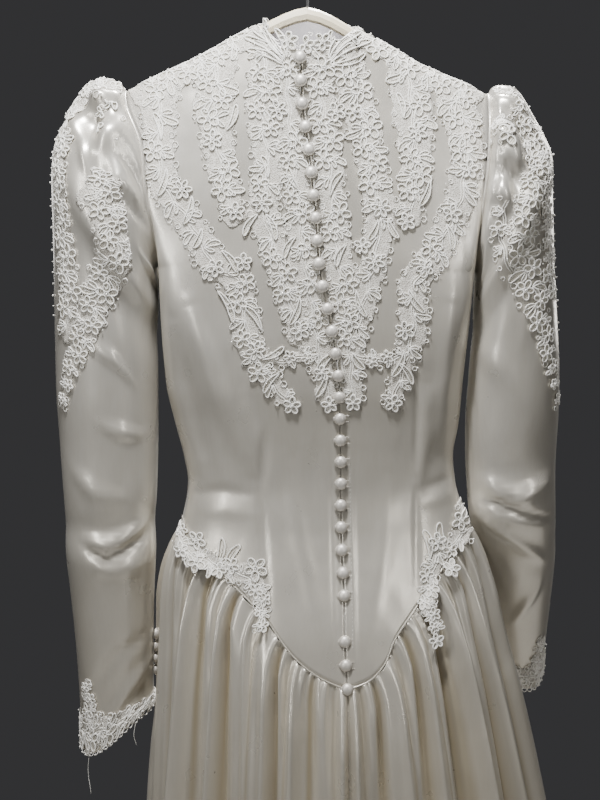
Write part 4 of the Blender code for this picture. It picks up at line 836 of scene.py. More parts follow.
def ring_share(side, arc_share, z, facing):
    """The width share that lies at a share of the way round a quarter of the body."""
    shares = np.sin(np.linspace(0, math.pi / 2, 90))
    heights = np.full_like(shares, z)
    x = across(side, shares, heights, facing)
    y = body_depth(side, x, heights, facing)
    length = np.concatenate([[0], np.cumsum(np.hypot(np.diff(x), np.diff(y)))])
    return np.interp(arc_share * length[-1], length, shares)


def sleeve_ring(side, row, angles):
    """Points round one section of a sleeve. Angle 0 is the outer line and 90 degrees the back."""
    table = SLEEVES[side]
    index = np.arange(len(table))
    at = {}
    for name in SleeveRow._fields:
        at[name] = float(cubic(index, [getattr(each, name) for each in table], row))
    outer = np.array([at["outer_x"], 0, at["outer_z"]])
    inner = np.array([at["inner_x"], 0, at["inner_z"]])
    swing = math.radians(at["swing"])
    deep = np.array([0, math.cos(swing), -math.sin(swing)]) * at["half"]
    middle = (outer + inner) / 2 + np.array([0, at["mid_y"], 0])
    ring = middle + np.outer(np.cos(angles), (outer - inner) / 2) + np.outer(np.sin(angles), deep)
    near = max(0, 1 - row / ARMHOLE_FADE)
    if near:
        hole = body(edge_name(side), ring[:, 2]) + side * ARMHOLE_GAP
        reach = np.where(np.sin(angles) > 0, ARMHOLE_REACH[BACK], ARMHOLE_REACH[FRONT])
        ring[:, 0] += (hole - ring[:, 0]) * near
        ring[:, 1] += (reach * np.sin(angles) - ring[:, 1]) * near
    last = len(table) - 1
    point = np.clip(1 - (last - row) / 2, 0, 1) ** 2
    towards = np.clip(np.cos(angles - math.radians(CUFF_POINT_ANGLE)), 0, 1)
    ring[:, 2] -= CUFF_POINT * point * towards**2
    return ring


def camera_axes():
    forward = unit(AIM - CAMERA)
    right = unit(np.cross(forward, (0.0, 0.0, 1.0)))
    return forward, right, np.cross(right, forward)


def behind(path, y=BACK_PLANE):
    """Places (x, z) on a plane of the dress that show at some pixels."""
    forward, right, up = camera_axes()
    path = np.asarray(path, float)
    off = path - FRAME_MIDDLE
    rays = forward * FOCAL_PIXELS + np.outer(off[:, 0], right) - np.outer(off[:, 1], up)
    reach = (y - CAMERA[1]) / rays[:, 1]
    hits = CAMERA + rays * reach[:, None]
    return hits[:, (0, 2)]


def shown_at(points):
    """The pixels at which points show."""
    forward, right, up = camera_axes()
    away = points - CAMERA
    depth = away @ forward
    return np.stack([
        FRAME_MIDDLE[0] + FOCAL_PIXELS * (away @ right) / depth,
        FRAME_MIDDLE[1] - FOCAL_PIXELS * (away @ up) / depth,
    ], axis=-1)


def wander(number):
    """A value from 0 to 1 that looks unordered."""
    return (number * GOLDEN + 0.37 * math.sin(number * 1.7)) % 1.0


def path_gap(path, u, v):
    """Distance to the nearest place on a path, and that place's share of the way along it."""
    best, share, run = np.full(np.shape(u), 1e3), np.zeros(np.shape(u)), 0.0
    whole = sum(math.dist(a, b) for a, b in zip(path[:-1], path[1:]))
    for (au, av), (bu, bv) in zip(path[:-1], path[1:]):
        du, dv = bu - au, bv - av
        length = math.hypot(du, dv)
        along = np.clip(((u - au) * du + (v - av) * dv) / length**2, 0, 1)
        gap = np.hypot(u - au - along * du, v - av - along * dv)
        share = np.where(gap < best, (run + along * length) / whole, share)
        best = np.minimum(best, gap)
        run += length
    return best, share


def crease_rise(creases, u, v):
    """Ridges and troughs that fade out toward their ends."""
    total = np.zeros(np.shape(u))
    for crease in creases:
        gap, share = path_gap(crease.path, u, v)
        fade = np.sin(math.pi * np.clip(share, 0.03, 0.97)) ** 0.8
        half = crease.half * (0.7 + 0.5 * fade)
        total = total + CREASE_SHARE * crease.rise * fade * np.exp(-((gap / half) ** 2))
    return total


def placed(creases):
    return [crease._replace(path=[tuple(place) for place in behind(crease.path)]) for crease in creases]


BACK_PLACED = placed(BODICE_CREASES)
FRONT_PLACED = FRONT_CREASES + [
    crease._replace(path=[(-x, z) for x, z in crease.path]) for crease in FRONT_CREASES
]


def bodice_out(side, x, z, facing):
    """How far the bodice stands out at a place seen square on, creases included."""
    z = np.asarray(z, float)
    share = np.clip(share_of(side, x, z, facing), 0, 1)
    top, out = edge_over(side, share, facing)
    fall = (1 - np.exp(-np.clip(top - z, 0, None) / FALL_LENGTH)) ** FALL_POWER
    y = out + (body_depth(side, x, z, facing) - out) * fall
    calm = np.clip((1 - share) / 0.06, 0, 1) * np.clip((top - z) / 0.02, 0, 1)
    low = waist_height(side, share, facing)
    calm = calm * np.clip((z - low) / 0.02, 0.3, 1)
    rise = crease_rise(BACK_PLACED if facing == BACK else FRONT_PLACED, x, z)
    return np.maximum(y, EDGE_GAP / 2) + rise * calm


def bodice_grid(side, facing, columns, rows):
    """Fine outer points of half a bodice."""
    shares = bodice_shares(side)
    shares = np.interp(np.linspace(0, len(shares) - 1, columns), np.arange(len(shares)), shares)
    downs = np.interp(np.linspace(0, len(BODICE_ROWS) - 1, rows), np.arange(len(BODICE_ROWS)), BODICE_ROWS)
    top = edge_over(side, shares, facing)[0]
    bottom = waist_height(side, shares, facing) + WAIST_GAP / 2
    z = top + (bottom - top) * downs[:, None]
    x = across(side, shares, z, facing)
    y = bodice_out(side, x, z, facing)
    return np.stack([x, facing * y, z], axis=2)


def bodice_surface(side, facing, extra=None):
    """Maps (x, z) places to points and normals on half a bodice."""

    def surface(places):
        x, z = places[:, 0], places[:, 1]
        centre = centre_line(z, facing)
        x = np.clip(side * x, side * (centre + side * 0.3 * MM), side * body(edge_name(side), z)) * side
        edge = edge_over(side, np.clip(share_of(side, x, z, facing), 0, 1), facing)[0]
        over = np.where(np.abs(x - NECK[BACK].x) < NECK_STAND_HALF, NECK_STAND, EDGE_STAND)
        z = np.minimum(z, edge + over)
        step = 1.5 * MM

        def out(a, b):
            y = bodice_out(side, a, b, facing)
            return y if extra is None else y + extra(a, b)

        y = out(x, z)
        slope_x = np.clip((out(x + step, z) - out(x - step, z)) / (2 * step), -3, 3)
        slope_z = np.clip((out(x, z + step) - out(x, z - step)) / (2 * step), -3, 3)
        points = np.stack([x, facing * y, z], axis=1)
        return points, unit(np.stack([-slope_x, np.full_like(x, facing), -slope_z], axis=1))

    return surface


def swing(wave, at, phase=0.0):
    return wave.size * np.sin(wave.rate * at + phase)


def skirt_quarter(side, facing):
    """Fine outer points of a quarter of the skirt, and how deep in a fold each lies."""
    folds = SKIRT_FOLDS[facing]
    count = folds * FOLD_COLUMNS
    arc = np.linspace(0, 1, count + 1)
    edge = bodice_grid(side, facing, 80, 3)[-1]
    run = run_along(edge[:, :2])
    waist = np.stack([np.interp(arc, run / run[-1], edge[:, axis]) for axis in range(3)], axis=1)
    waist[:, 2] -= WAIST_GAP
    hem = HEM[facing] + (sum(HEM.values()) / 2 - HEM[facing]) * arc
    down = np.linspace(0, 1, SKIRT_ROWS) ** 1.5
    z = waist[:, 2] + (hem - waist[:, 2]) * down[:, None]
    table = np.array([ring_share(side, arc, level, facing) for level in SKIRT_LEVELS])
    share = np.stack([np.interp(z[:, col], SKIRT_LEVELS, table[:, col]) for col in range(count + 1)], axis=1)
    x = across(side, share, z, facing)
    y = facing * body_depth(side, x, z, facing)
    ring = np.stack([x, y, z], axis=2)
    settle = np.clip(down / GATHER_SETTLE, 0, 1)[:, None, None]
    base = waist[None] * (1 - settle) + ring * settle
    run_x, run_y = np.gradient(base[..., 0], axis=1), np.gradient(base[..., 1], axis=1)
    normal = unit(np.stack([run_y, -run_x, np.zeros_like(run_x)], axis=2))
    away = np.sign(normal[..., 0] * (base[..., 0] + 0.02) + normal[..., 1] * base[..., 1])
    normal = normal * away[..., None]
    normal[:, 0] = (0, facing, 0)
    normal[:, -1] = (side, 0, 0)
    place = arc * folds
    between = np.sin(math.pi * arc)
    drift = (swing(FOLD_DRIFT, place, side) + swing(FOLD_DRIFT_FINE, place)) * between
    down = down[:, None]
    turn = 2 * math.pi * (place + drift + swing(FOLD_SLIDE, place, 2 * side) * between * down)
    uneven = 1 + swing(FOLD_UNEVEN, place) + swing(FOLD_UNEVEN_FINE, place, side)
    gather = column(FOLD_DEPTH, "share", "gather", down)
    gather = gather * (1 - GATHER_LOSS * np.clip(down / GATHER_EASE, 0, 1))
    fold = column(FOLD_DEPTH, "share", "fold", down)
    fold = fold + HIP_FOLD * np.clip(down / 0.07, 0, 1) * np.exp(-((down / 0.35) ** 2))
    ridge = 2 * np.abs(np.sin(turn / 2 + math.pi / 4)) - 1
    crest = CREST_PLAIN * np.sin(turn) + (1 - CREST_PLAIN) * ridge
    lean = np.sin(turn / 2 + 0.6 * down)
    tiny = np.sin(3.0 * turn + 0.7 * np.sin(turn)) * (PINCH * np.exp(-down / 0.05) + PINCH_LEFT)
    ripple = RIPPLE * np.sin(2.2 * turn + 9 * down) * np.clip(down / 0.2, 0, 1)
    ends = np.sin(math.pi * np.clip(arc, 0.004, 0.996)) ** 0.25
    swell = 1 + 0.65 * np.exp(-(((down - 0.06) / 0.06) ** 2))
    rise = uneven * (gather * crest * swell + fold * lean) + (tiny + ripple) * ends
    # How deep in a fold each point lies: the satin paints shade there from it
    depth = np.clip(-(crest * 0.7 + lean * 0.3), 0, 1) * np.clip(down / 0.02, 0, 1)
    return base + normal * rise[..., None], depth


def sleeve_relief(side, row, angles):
    """Cap pleats and the main folds, as height off a section."""
    fade = math.sin(math.pi * min(row / PLEAT_SPAN, 1)) + PLEAT_AT_SEAM * max(0, 1 - row)
    wave = np.cos(12 * angles)
    over_cap = np.sqrt(np.clip(np.cos(angles) + PLEAT_ROUND, 0, 1))
    pleats = np.sign(wave) * np.abs(wave) ** 0.7 * over_cap * (1 + 0.35 * np.sin(2.3 * angles + side))
    rise = 1.25 * PLEAT_DEPTH * fade * pleats
    for fold in SLEEVE_FOLDS[side]:
        turn = (np.degrees(angles) - fold.angle + 180) % 360 - 180
        rise = rise + fold.rise * np.exp(-((turn / fold.angles) ** 2) - ((row - fold.row) / fold.rows) ** 2)
    return rise * min(1, row)


class Sleeve:
    """A sleeve's fine grid, with (round, along) places in metres from the outer line and the armhole."""

    def __init__(self, side):
        rows, columns = SLEEVE_ROWS, SLEEVE_COLUMNS
        self.side = side
        self.angles = on_circle(columns)
        self.rows = np.linspace(0, len(SLEEVES[side]) - 1, rows)
        smooth = np.array([sleeve_ring(side, row, self.angles) for row in self.rows])
        normals = grid_normals(smooth, closed=True) * side
        steps = np.linalg.norm(np.diff(smooth, axis=0), axis=2).mean(axis=1)
        self.along = np.concatenate([[0], np.cumsum(steps)])
        round_steps = np.linalg.norm(np.roll(smooth, -1, axis=1) - smooth, axis=2)
        self.arc = np.concatenate([np.zeros((rows, 1)), np.cumsum(round_steps, axis=1)], axis=1)
        relief = np.array([sleeve_relief(side, row, self.angles) for row in self.rows])
        self.grid = smooth
        half = self.arc[:, -1:] / 2
        u = (self.arc[:, :-1] + half) % (2 * half) - half
        v = np.broadcast_to(self.along[:, None], relief.shape)
        creases = []
        for crease in SLEEVE_CREASES[side]:
            path = [self.find(*place) for place in crease.path]
            creases.append(crease._replace(path=path))
            creases.append(crease._replace(path=[(-a, b + 0.006) for a, b in path], rise=crease.rise * 0.9))
        relief = relief + crease_rise(creases, u, v) * np.clip(self.rows, 0, 1)[:, None]
        smooth[0, :, 0] -= side * 1.2 * MM
        self.grid = smooth + normals * relief[:, :, None]
        self.normals = grid_normals(self.grid, closed=True) * side
        self.unroll()

    def unroll(self):
        """A flat chart of the cap: down its outer line, and square off that line both ways."""
        pitch, steps = CHART_PITCH, CHART_STEPS
        run = run_along(self.grid[:, 0])
        downs = np.arange(0, CHART_LENGTH, pitch)
        rows = np.interp(downs, run, np.arange(len(self.rows)))
        start, normals = self.sample(rows, np.zeros(len(rows)))
        ahead = unit(np.gradient(start, axis=0))
        chart = np.zeros((len(downs), 2 * steps + 1, 8))
        chart[:, steps] = np.concatenate([start, normals, rows[:, None], np.zeros((len(rows), 1))], axis=1)
        for hand in (1, -1):
            place, across_line = start, unit(np.cross(normals, ahead))
            across_line = across_line * np.sign(across_line[:, 1:2]) * hand
            for step in range(1, steps + 1):
                row_at, column_at = self.nearest(place + across_line * pitch)
                moved, upright = self.sample(row_at, column_at)
                across_line = unit(across_line - upright * (across_line * upright).sum(axis=1)[:, None])
                stuck = np.linalg.norm(moved - place, axis=1) < 0.3 * pitch
                last = chart[:, steps + hand * (step - 1), 7]
                lost = np.where(stuck | (row_at < 0.35), 1.0, last)
                chart[:, steps + hand * step] = np.concatenate(
                    [moved, upright, row_at[:, None], lost[:, None]], axis=1)
                place = moved
        spacing = np.linalg.norm(np.gradient(chart[..., :3], axis=0), axis=2) / pitch
        chart[..., 7] = np.maximum(chart[..., 7], (spacing < 0.35) | (spacing > 1.9))
        self.chart = chart

    def nearest(self, points):
        """The (row, column) places nearest some points."""
        flat = self.grid.reshape(-1, 3)
        gaps = (flat**2).sum(axis=1)[None] - 2 * points @ flat.T
        row, col = np.divmod(gaps.argmin(axis=1), len(self.angles))
        above, below = np.maximum(row - 1, 0), np.minimum(row + 1, len(self.rows) - 1)
        down = (self.grid[below, col] - self.grid[above, col]) / (below - above)[:, None]
        round_ = (self.grid[row, (col + 1) % len(self.angles)] - self.grid[row, col - 1]) / 2
        off = points - self.grid[row, col]
        dd, rr, dr = (down**2).sum(axis=1), (round_**2).sum(axis=1), (down * round_).sum(axis=1)
        od, orr = (off * down).sum(axis=1), (off * round_).sum(axis=1)
        whole = dd * rr - dr**2
        a = np.clip((od * rr - orr * dr) / whole, -1, 1)
        b = np.clip((orr * dd - od * dr) / whole, -1, 1)
        return np.clip(row + a, 0, len(self.rows) - 1), (col + b) % len(self.angles)

    def find_in_chart(self, px, py):
        """The (round, down) place behind that shows nearest a pixel. Down is below zero."""
        part = self.chart[:, CHART_STEPS:]
        pixels = shown_at(part[..., :3].reshape(-1, 3))
        gaps = ((pixels - (px, py)) ** 2).sum(axis=1) + 1e6 * part[..., 7].ravel()
        row, col = divmod(int(np.argmin(gaps)), part.shape[1])
        return col * CHART_PITCH, -row * CHART_PITCH

    def chart_values(self, places):
        down = np.clip(-places[:, 1] / CHART_PITCH, 0, self.chart.shape[0] - 1.001)
        round_ = places[:, 0] / CHART_PITCH + CHART_STEPS
        round_ = np.clip(round_, 0, self.chart.shape[1] - 1.001)
        i, j = np.floor(down).astype(int), np.floor(round_).astype(int)
        t, s = (down - i)[:, None], (round_ - j)[:, None]
        upper = self.chart[i, j] * (1 - s) + self.chart[i, j + 1] * s
        lower = self.chart[i + 1, j] * (1 - s) + self.chart[i + 1, j + 1] * s
        return upper * (1 - t) + lower * t

    def chart_surface(self, places):
        """Points and normals at (round, down) places on the cap."""
        values = self.chart_values(places)
        return values[:, :3], unit(values[:, 3:6])

    def on_chart(self, places):
        """Above zero where a place lies on the sleeve and clear of its armhole seam."""
        values = self.chart_values(places)
        return np.minimum(0.5 - values[:, 7], (values[:, 6] - 0.9) * 0.01) * (places[:, 1] < -1 * MM)

    def find(self, px, py):
        """The (round, along) place on the side behind that shows nearest a pixel."""
        half = (self.angles > 0.05) & (self.angles < math.pi - 0.05)
        pixels = shown_at(self.grid[:, half].reshape(-1, 3))
        nearest = int(np.argmin(((pixels - (px, py)) ** 2).sum(axis=1)))
        row, col = divmod(nearest, int(half.sum()))
        return self.arc[row, int(np.flatnonzero(half)[col])], self.along[row]

    def columns_at(self, round_, row_at):
        """Column places at lengths round from the outer line, a row at a time."""
        nearest = np.clip(np.round(row_at).astype(int), 0, len(self.rows) - 1)
        found = np.zeros(len(round_))
        for row in np.unique(nearest):
            here = nearest == row
            lengths = self.arc[row]
            found[here] = np.interp(round_[here] % lengths[-1], lengths, np.arange(len(lengths)))
        return found % len(self.angles)

    def cuff_surface(self, places):
        """Points and normals at (round, height above the hem) places."""
        row_at = np.interp(self.along[-1] - places[:, 1], self.along, np.arange(len(self.rows)))
        points, normals = self.sample(row_at, self.columns_at(places[:, 0], row_at))
        points[:, 2] += np.minimum(places[:, 1], 0)
        return points, normals

    def sample(self, row_at, column_at):
        row = np.clip(np.floor(row_at).astype(int), 0, len(self.rows) - 2)
        col = np.floor(column_at).astype(int) % len(self.angles)
        right = (col + 1) % len(self.angles)
        t, s = (row_at - row)[:, None], (column_at - np.floor(column_at))[:, None]
        mixed = []
        for grid in (self.grid, self.normals):
            upper = grid[row, col] * (1 - s) + grid[row, right] * s
            lower = grid[row + 1, col] * (1 - s) + grid[row + 1, right] * s
            mixed.append(upper * (1 - t) + lower * t)
        return mixed[0], unit(mixed[1])


class Gather:
    """Points and faces of one piece, added bit by bit."""

    def __init__(self):
        self.points, self.faces, self.slots, self.tints, self.count = [], [], [], [], 0

    def add(self, points, faces, slot=0, tint=None):
        points = np.asarray(points, float).reshape(-1, 3)
        faces = np.asarray(faces, int) + self.count
        self.points.append(points)
        self.faces += faces.tolist()
        self.slots += [slot] * len(faces)
        self.tints.append(np.zeros(len(points)) if tint is None else np.asarray(tint, float))
        self.count += len(points)

    def piece(self, name, materials, replaced=()):
        mesh = bpy.data.meshes.new(name)
        mesh.from_pydata(np.concatenate(self.points).tolist(), [], self.faces)
        for looks in materials:
            mesh.materials.append(looks)
        mesh.polygons.foreach_set("material_index", self.slots)
        mesh.polygons.foreach_set("use_smooth", [True] * len(self.slots))
        # The 'fold' attribute is the mask by which the satin paints shade down in the folds
        tint = mesh.attributes.new("fold", "FLOAT", "POINT")
        tint.data.foreach_set("value", np.concatenate(self.tints))
        mesh.update()
        made = linked(name, mesh)
        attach(made, "root")
        if replaced:
            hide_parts(*replaced)
        return made


def tube(gather, path, normals, radius, sides=4, closed=False, flat=CORD_FLAT, lift=0.0):
    """A round cord along a path that lies on a surface, pinched shut at its ends."""
    if closed:
        tangent = np.roll(path, -1, axis=0) - np.roll(path, 1, axis=0)
    else:
        tangent = np.gradient(path, axis=0)
    sideways = unit(np.cross(normals, unit(tangent)))
    size = np.full(len(path), radius)
    if not closed:
        size[[0, -1]] = radius * 0.25
    turns = on_circle(sides) + math.pi / sides
    middle = path + normals * lift
    rings = (
        middle[:, None]
        + (sideways[:, None] * np.cos(turns)[None, :, None]
           + normals[:, None] * np.sin(turns)[None, :, None] * flat) * size[:, None, None]
    )
    count = len(path)
    i = np.arange(count if closed else count - 1)
    j = (i + 1) % count
    faces = []
    for k in range(sides):
        n = (k + 1) % sides
        faces.append(np.stack([i * sides + k, i * sides + n, j * sides + n, j * sides + k], axis=1))
    gather.add(rings, np.concatenate(faces))


def ball_corners():
    """The twelve corners of a ball with twenty faces."""
    golden = (1 + math.sqrt(5)) / 2
    corners = []
    for a in (-1, 1):
        for b in (-golden, golden):
            corners += [(0, a, b), (a, b, 0), (b, 0, a)]
    return np.array(corners, float)


def ball_faces(corners):
    """Every three corners that lie an edge apart, turned outward."""
    faces = []
    for three in combinations(range(len(corners)), 3):
        a, b, c = corners[list(three)]
        if max(math.dist(a, b), math.dist(b, c), math.dist(a, c)) < BALL_EDGE_OVER:
            out = np.dot(np.cross(b - a, c - a), a)
            faces.append(three if out > 0 else (three[0], three[2], three[1]))
    return faces


BALL_EDGE_OVER = 2.1
BALL_CORNERS = ball_corners()
BALL_FACES = ball_faces(BALL_CORNERS)


class Nodes:
    """A material's node tree, built with few words."""

    def __init__(self, name):
        self.material = bpy.data.materials.new(name)
        self.material.use_nodes = True
        self.tree = self.material.node_tree
        self.shader = self.tree.nodes["Principled BSDF"]
        self.place = self.new("ShaderNodeTexCoord").outputs["Object"]

    def new(self, kind, **values):
        node = self.tree.nodes.new(kind)
        for name, value in values.items():
            setattr(node, name, value)
        return node

    def link(self, out, into):
        self.tree.links.new(out, into)

    def scaled(self, scale):
        node = self.new("ShaderNodeMapping")
        node.inputs["Scale"].default_value = scale
        self.link(self.place, node.inputs["Vector"])
        return node.outputs["Vector"]

    def noise(self, scale, detail=2.0, stretch=(1, 1, 1), twist=0.0):
        node = self.new("ShaderNodeTexNoise")
        node.inputs["Scale"].default_value = scale
        node.inputs["Detail"].default_value = detail
        node.inputs["Distortion"].default_value = twist
        self.link(self.scaled(stretch), node.inputs["Vector"])
        return node.outputs["Fac"]

    def mix(self, share, low, high):
        node = self.new("ShaderNodeMix", data_type="RGBA")
        for value, socket in ((share, 0), (low, 6), (high, 7)):
            if isinstance(value, (tuple, float)):
                node.inputs[socket].default_value = value
            else:
                self.link(value, node.inputs[socket])
        return node.outputs[2]

    def spread(self, value, low, high, to_low=0.0, to_high=1.0):
        node = self.new("ShaderNodeMapRange")
        for name, number in zip(("From Min", "From Max", "To Min", "To Max"), (low, high, to_low, to_high)):
            node.inputs[name].default_value = number
        self.link(value, node.inputs["Value"])
        return node.outputs["Result"]

    def bump(self, *layers):
        """Bumps stacked from (height, strength, distance) layers."""
        last = None
        for height, strength, distance in layers:
            node = self.new("ShaderNodeBump")
            node.inputs["Strength"].default_value = strength
            node.inputs["Distance"].default_value = distance
            self.link(height, node.inputs["Height"])
            if last is not None:
                self.link(last, node.inputs["Normal"])
            last = node.outputs["Normal"]
        self.link(last, self.shader.inputs["Normal"])

    def colour(self, out):
        self.link(out, self.shader.inputs["Base Color"])

    def rough(self, out):
        self.link(out, self.shader.inputs["Roughness"])

    def set(self, **values):
        for name, value in values.items():
            self.shader.inputs[SOCKETS[name]].default_value = value


def satin(name, light, deep, fold_shade_and_slub, gloss=(0.27, 0.35)):
    """Duchess satin: a fine weave, soft handling marks, and painted shade, dark and warm, down in the folds
    and towards the hem.
    """
    n = Nodes(name)
    cloud = n.noise(7, 3, (1, 1, 0.6))
    base = n.mix(n.spread(cloud, 0.35, 0.7), light, deep)
    # Painted shade: down in the folds, by the 'fold' attribute, the satin turns darker and warmer
    attribute = n.new("ShaderNodeAttribute", attribute_name="fold")
    base = n.mix(n.spread(attribute.outputs["Fac"], 0.05, 0.85, 0.0, 0.9), base, fold_shade_and_slub)
    # Painted shade: the satin turns darker and warmer towards the hem, from z = -0.40 down to -0.95
    height = n.new("ShaderNodeSeparateXYZ")
    n.link(n.place, height.inputs["Vector"])
    base = n.mix(n.spread(height.outputs["Z"], -0.40, -0.95, 0.0, 0.55), base, LOW_SHADE)
    # Slub streaks of the weave, tinted with the fold shade's colour
    slub = n.noise(420, 2, (1, 1, 0.12))
    base = n.mix(n.spread(slub, 0.3, 0.9, 0.0, 0.10), base, fold_shade_and_slub)
    n.colour(base)
    n.rough(n.spread(n.noise(30, 3), 0.3, 0.7, *gloss))
    n.bump(
        (n.noise(11, 2, (1, 1, 0.45), 0.5), 0.42, 0.012),
        (n.noise(40, 2, (1, 1, 0.4)), 0.12, 0.0020),
        (n.noise(2600, 1, (1, 1, 0.3)), 0.10, 0.0002),
    )
    n.set(sheen=0.05, sheen_rough=0.4, spec=0.9, metal=0.48)
    return n.material


def thread():
    """Matte twisted cord."""
    n = Nodes("lace_cord")
    n.colour(n.mix(n.spread(n.noise(260, 3), 0.35, 0.7), THREAD_WHITE, THREAD_DEEP))
    n.bump((n.noise(1500, 2), 0.5, 0.0005))
    n.set(rough=0.62, sheen=0.25, sheen_rough=0.5)
    return n.material


def filling():
    """Close darning inside petals and leaves."""
    n = Nodes("lace_filling")
    wave = n.new("ShaderNodeTexWave", wave_type="BANDS", bands_direction="DIAGONAL")
    wave.inputs["Scale"].default_value = 240
    wave.inputs["Distortion"].default_value = 3
    n.link(n.place, wave.inputs["Vector"])
    n.colour(n.mix(n.spread(wave.outputs["Fac"], 0.1, 0.9), FILL_DEEP, FILL_PALE))
    n.bump((wave.outputs["Fac"], 0.5, 0.0008))
    n.set(rough=0.7, sheen=0.2, sheen_rough=0.5)
    return n.material


def net():
    """Fine net: pale threads round small holes that show the satin under it, painted darker as the shade
    under the net.
    """
    n = Nodes("lace_net")
    cells = n.new("ShaderNodeTexVoronoi", feature="DISTANCE_TO_EDGE")
    cells.inputs["Scale"].default_value = 520
    n.link(n.place, cells.inputs["Vector"])
    hole = n.spread(cells.outputs["Distance"], 0.05, 0.22)
    # Painted shade in the holes
    n.colour(n.mix(hole, NET_PALE, NET_HOLE_SHADE))
    n.bump((hole, 0.6, -0.0006))
    n.set(rough=0.55, sheen=0.2, sheen_rough=0.5)
    return n.material


def pearl():
    n = Nodes("bead_pearl")
    n.colour(n.mix(n.spread(n.noise(90, 2), 0.3, 0.7), PEARL, THREAD_WHITE))
    n.rough(n.spread(n.noise(400, 2), 0.3, 0.7, 0.10, 0.2))
    n.set(coat=0.6, coat_rough=0.08)
    return n.material


def plastic():
    """Moulded hanger, slightly aged."""
    n = Nodes("hanger_plastic")
    n.colour(n.mix(n.spread(n.noise(14, 4), 0.35, 0.75), PLASTIC_PALE, PLASTIC_DEEP))
    n.rough(n.spread(n.noise(120, 3), 0.3, 0.7, 0.28, 0.42))
    n.bump((n.noise(300, 2), 0.15, 0.0003))
    n.set(coat=0.15, coat_rough=0.2)
    return n.material


def chrome():
    n = Nodes("hook_chrome")
    n.colour(n.mix(n.spread(n.noise(60, 3), 0.4, 0.8), CHROME_PALE, CHROME_DULL))
    n.rough(n.spread(n.noise(500, 3, (1, 1, 0.1)), 0.3, 0.7, 0.14, 0.30))
    n.set(metal=1.0)
    return n.material


SATIN = satin("ivory_satin_cloth", IVORY_LIGHT, IVORY_DEEP, FOLD_SHADE_AND_SLUB)
BUTTON_SATIN = satin("button_satin_cloth", BUTTON_LIGHT, BUTTON_DEEP, FOLD_SHADE_AND_SLUB, (0.42, 0.50))
LINING = satin("lining_cloth", LINING_GREY, LINING_DEEP, LINING_FOLD_SHADE_AND_SLUB, (0.5, 0.6))
CORD = thread()
FILL = filling()
NET = net()
BEAD = pearl()
LACE_LOOKS = [CORD, FILL, BEAD]


def state_sheet(made, wide, tall, area, held, rests, **more):
    """A very ragged one counts as the least share of its rectangle allowed. Nothing else is done with it.
    """
    area = float(np.clip(area, LEAST_CUT * wide * tall, wide * tall))


def shell(name, grid, normals, thickness, tint=None, closed=False, held="hung", rests=(), extras=None):
    """A thin cloth shell in place of a CAD panel, with its lining side inside."""
    triangles = cell_triangles(*grid.shape[:2], closed)
    flat = grid.reshape(-1, 3)
    points, faces = thicken(flat, normals.reshape(-1, 3), triangles, -thickness)
    tint = np.zeros(len(flat)) if tint is None else tint.reshape(-1)
    gather = Gather()
    gather.add(points, faces, 0, np.concatenate([tint, tint]))
    gather.slots[len(triangles):2 * len(triangles)] = [1] * len(triangles)
    if extras:
        extras(gather)
    made = gather.piece(f"{name}_cloth", [SATIN, LINING, CORD], [name])
    wide = np.linalg.norm(np.diff(grid, axis=1), axis=2).sum(axis=1).max()
    tall = np.linalg.norm(np.diff(grid, axis=0), axis=2).sum(axis=0).max()
    if closed:
        wide += np.linalg.norm(grid[:, 0] - grid[:, -1], axis=1).max()
    state_sheet(made, wide, tall, surface_area(flat, triangles), held, rests)


def outward(grid, reference, closed=False):
    """Grid normals turned to agree with a direction away from `reference`."""
    normals = grid_normals(grid, closed)
    away = grid - reference
    return normals if (normals * away).sum() > 0 else -normals


def build_underlap():
    """The strip under the buttoned opening."""
    z = np.linspace(UNDERLAP_TOP, UNDERLAP_BOTTOM, UNDERLAP_ROWS)
    columns = []
    for off in (-UNDERLAP_HALF, 0.0, UNDERLAP_HALF):
        x = centre_line(z, BACK) + off
        side = LEFT if off >= 0 else RIGHT
        columns.append(np.stack([x, bodice_out(side, x, z, BACK) - UNDERLAP_SUNK, z], axis=1))
    gather = Gather()
    gather.add(np.stack(columns, axis=1), cell_triangles(UNDERLAP_ROWS, len(columns), False))
    made = gather.piece("placket_underlap", [SATIN])


def build_panels():
    """The bodice's three pieces, with piping on the neck and the waist."""
    inside = np.array([-0.01, 0.0, -0.4])
    columns, rows = BODICE_GRID[BACK]
    for side in (LEFT, RIGHT):
        name = edge_name(side)
        grid = bodice_grid(side, BACK, columns, rows)
        grid[:, 0, 0] += side * SEAM_GAP / 2
        normals = outward(grid, inside)
        normals[:, 0, 0] = 0
        normals[-1, :, 2] = 0
        normals = unit(normals)
        neck = int(columns * len(NECK_COLUMNS) / len(bodice_shares(side)))

        def trim(gather, grid=grid, normals=normals, neck=neck):
            tube(gather, grid[0, :neck], normals[0, :neck], PIPING, 6)
            tube(gather, grid[-1], normals[-1], PIPING, 6, lift=-PIPING_SUNK)

        shell(f"bodice_back_{name}", grid, normals, BODICE_WALL, rests=["hanger"], extras=trim)
    right, left = (bodice_grid(side, FRONT, *BODICE_GRID[FRONT]) for side in (RIGHT, LEFT))
    grid = np.concatenate([right[:, ::-1], left[:, 1:]], axis=1)
    normals = outward(grid, inside)
    normals[-1, :, 2] = 0

    def seam(gather):
        tube(gather, grid[-1], unit(normals[-1]), PIPING, 6, lift=-PIPING_SUNK)

    shell("bodice_front", grid, unit(normals), BODICE_WALL, rests=["hanger"], extras=seam)


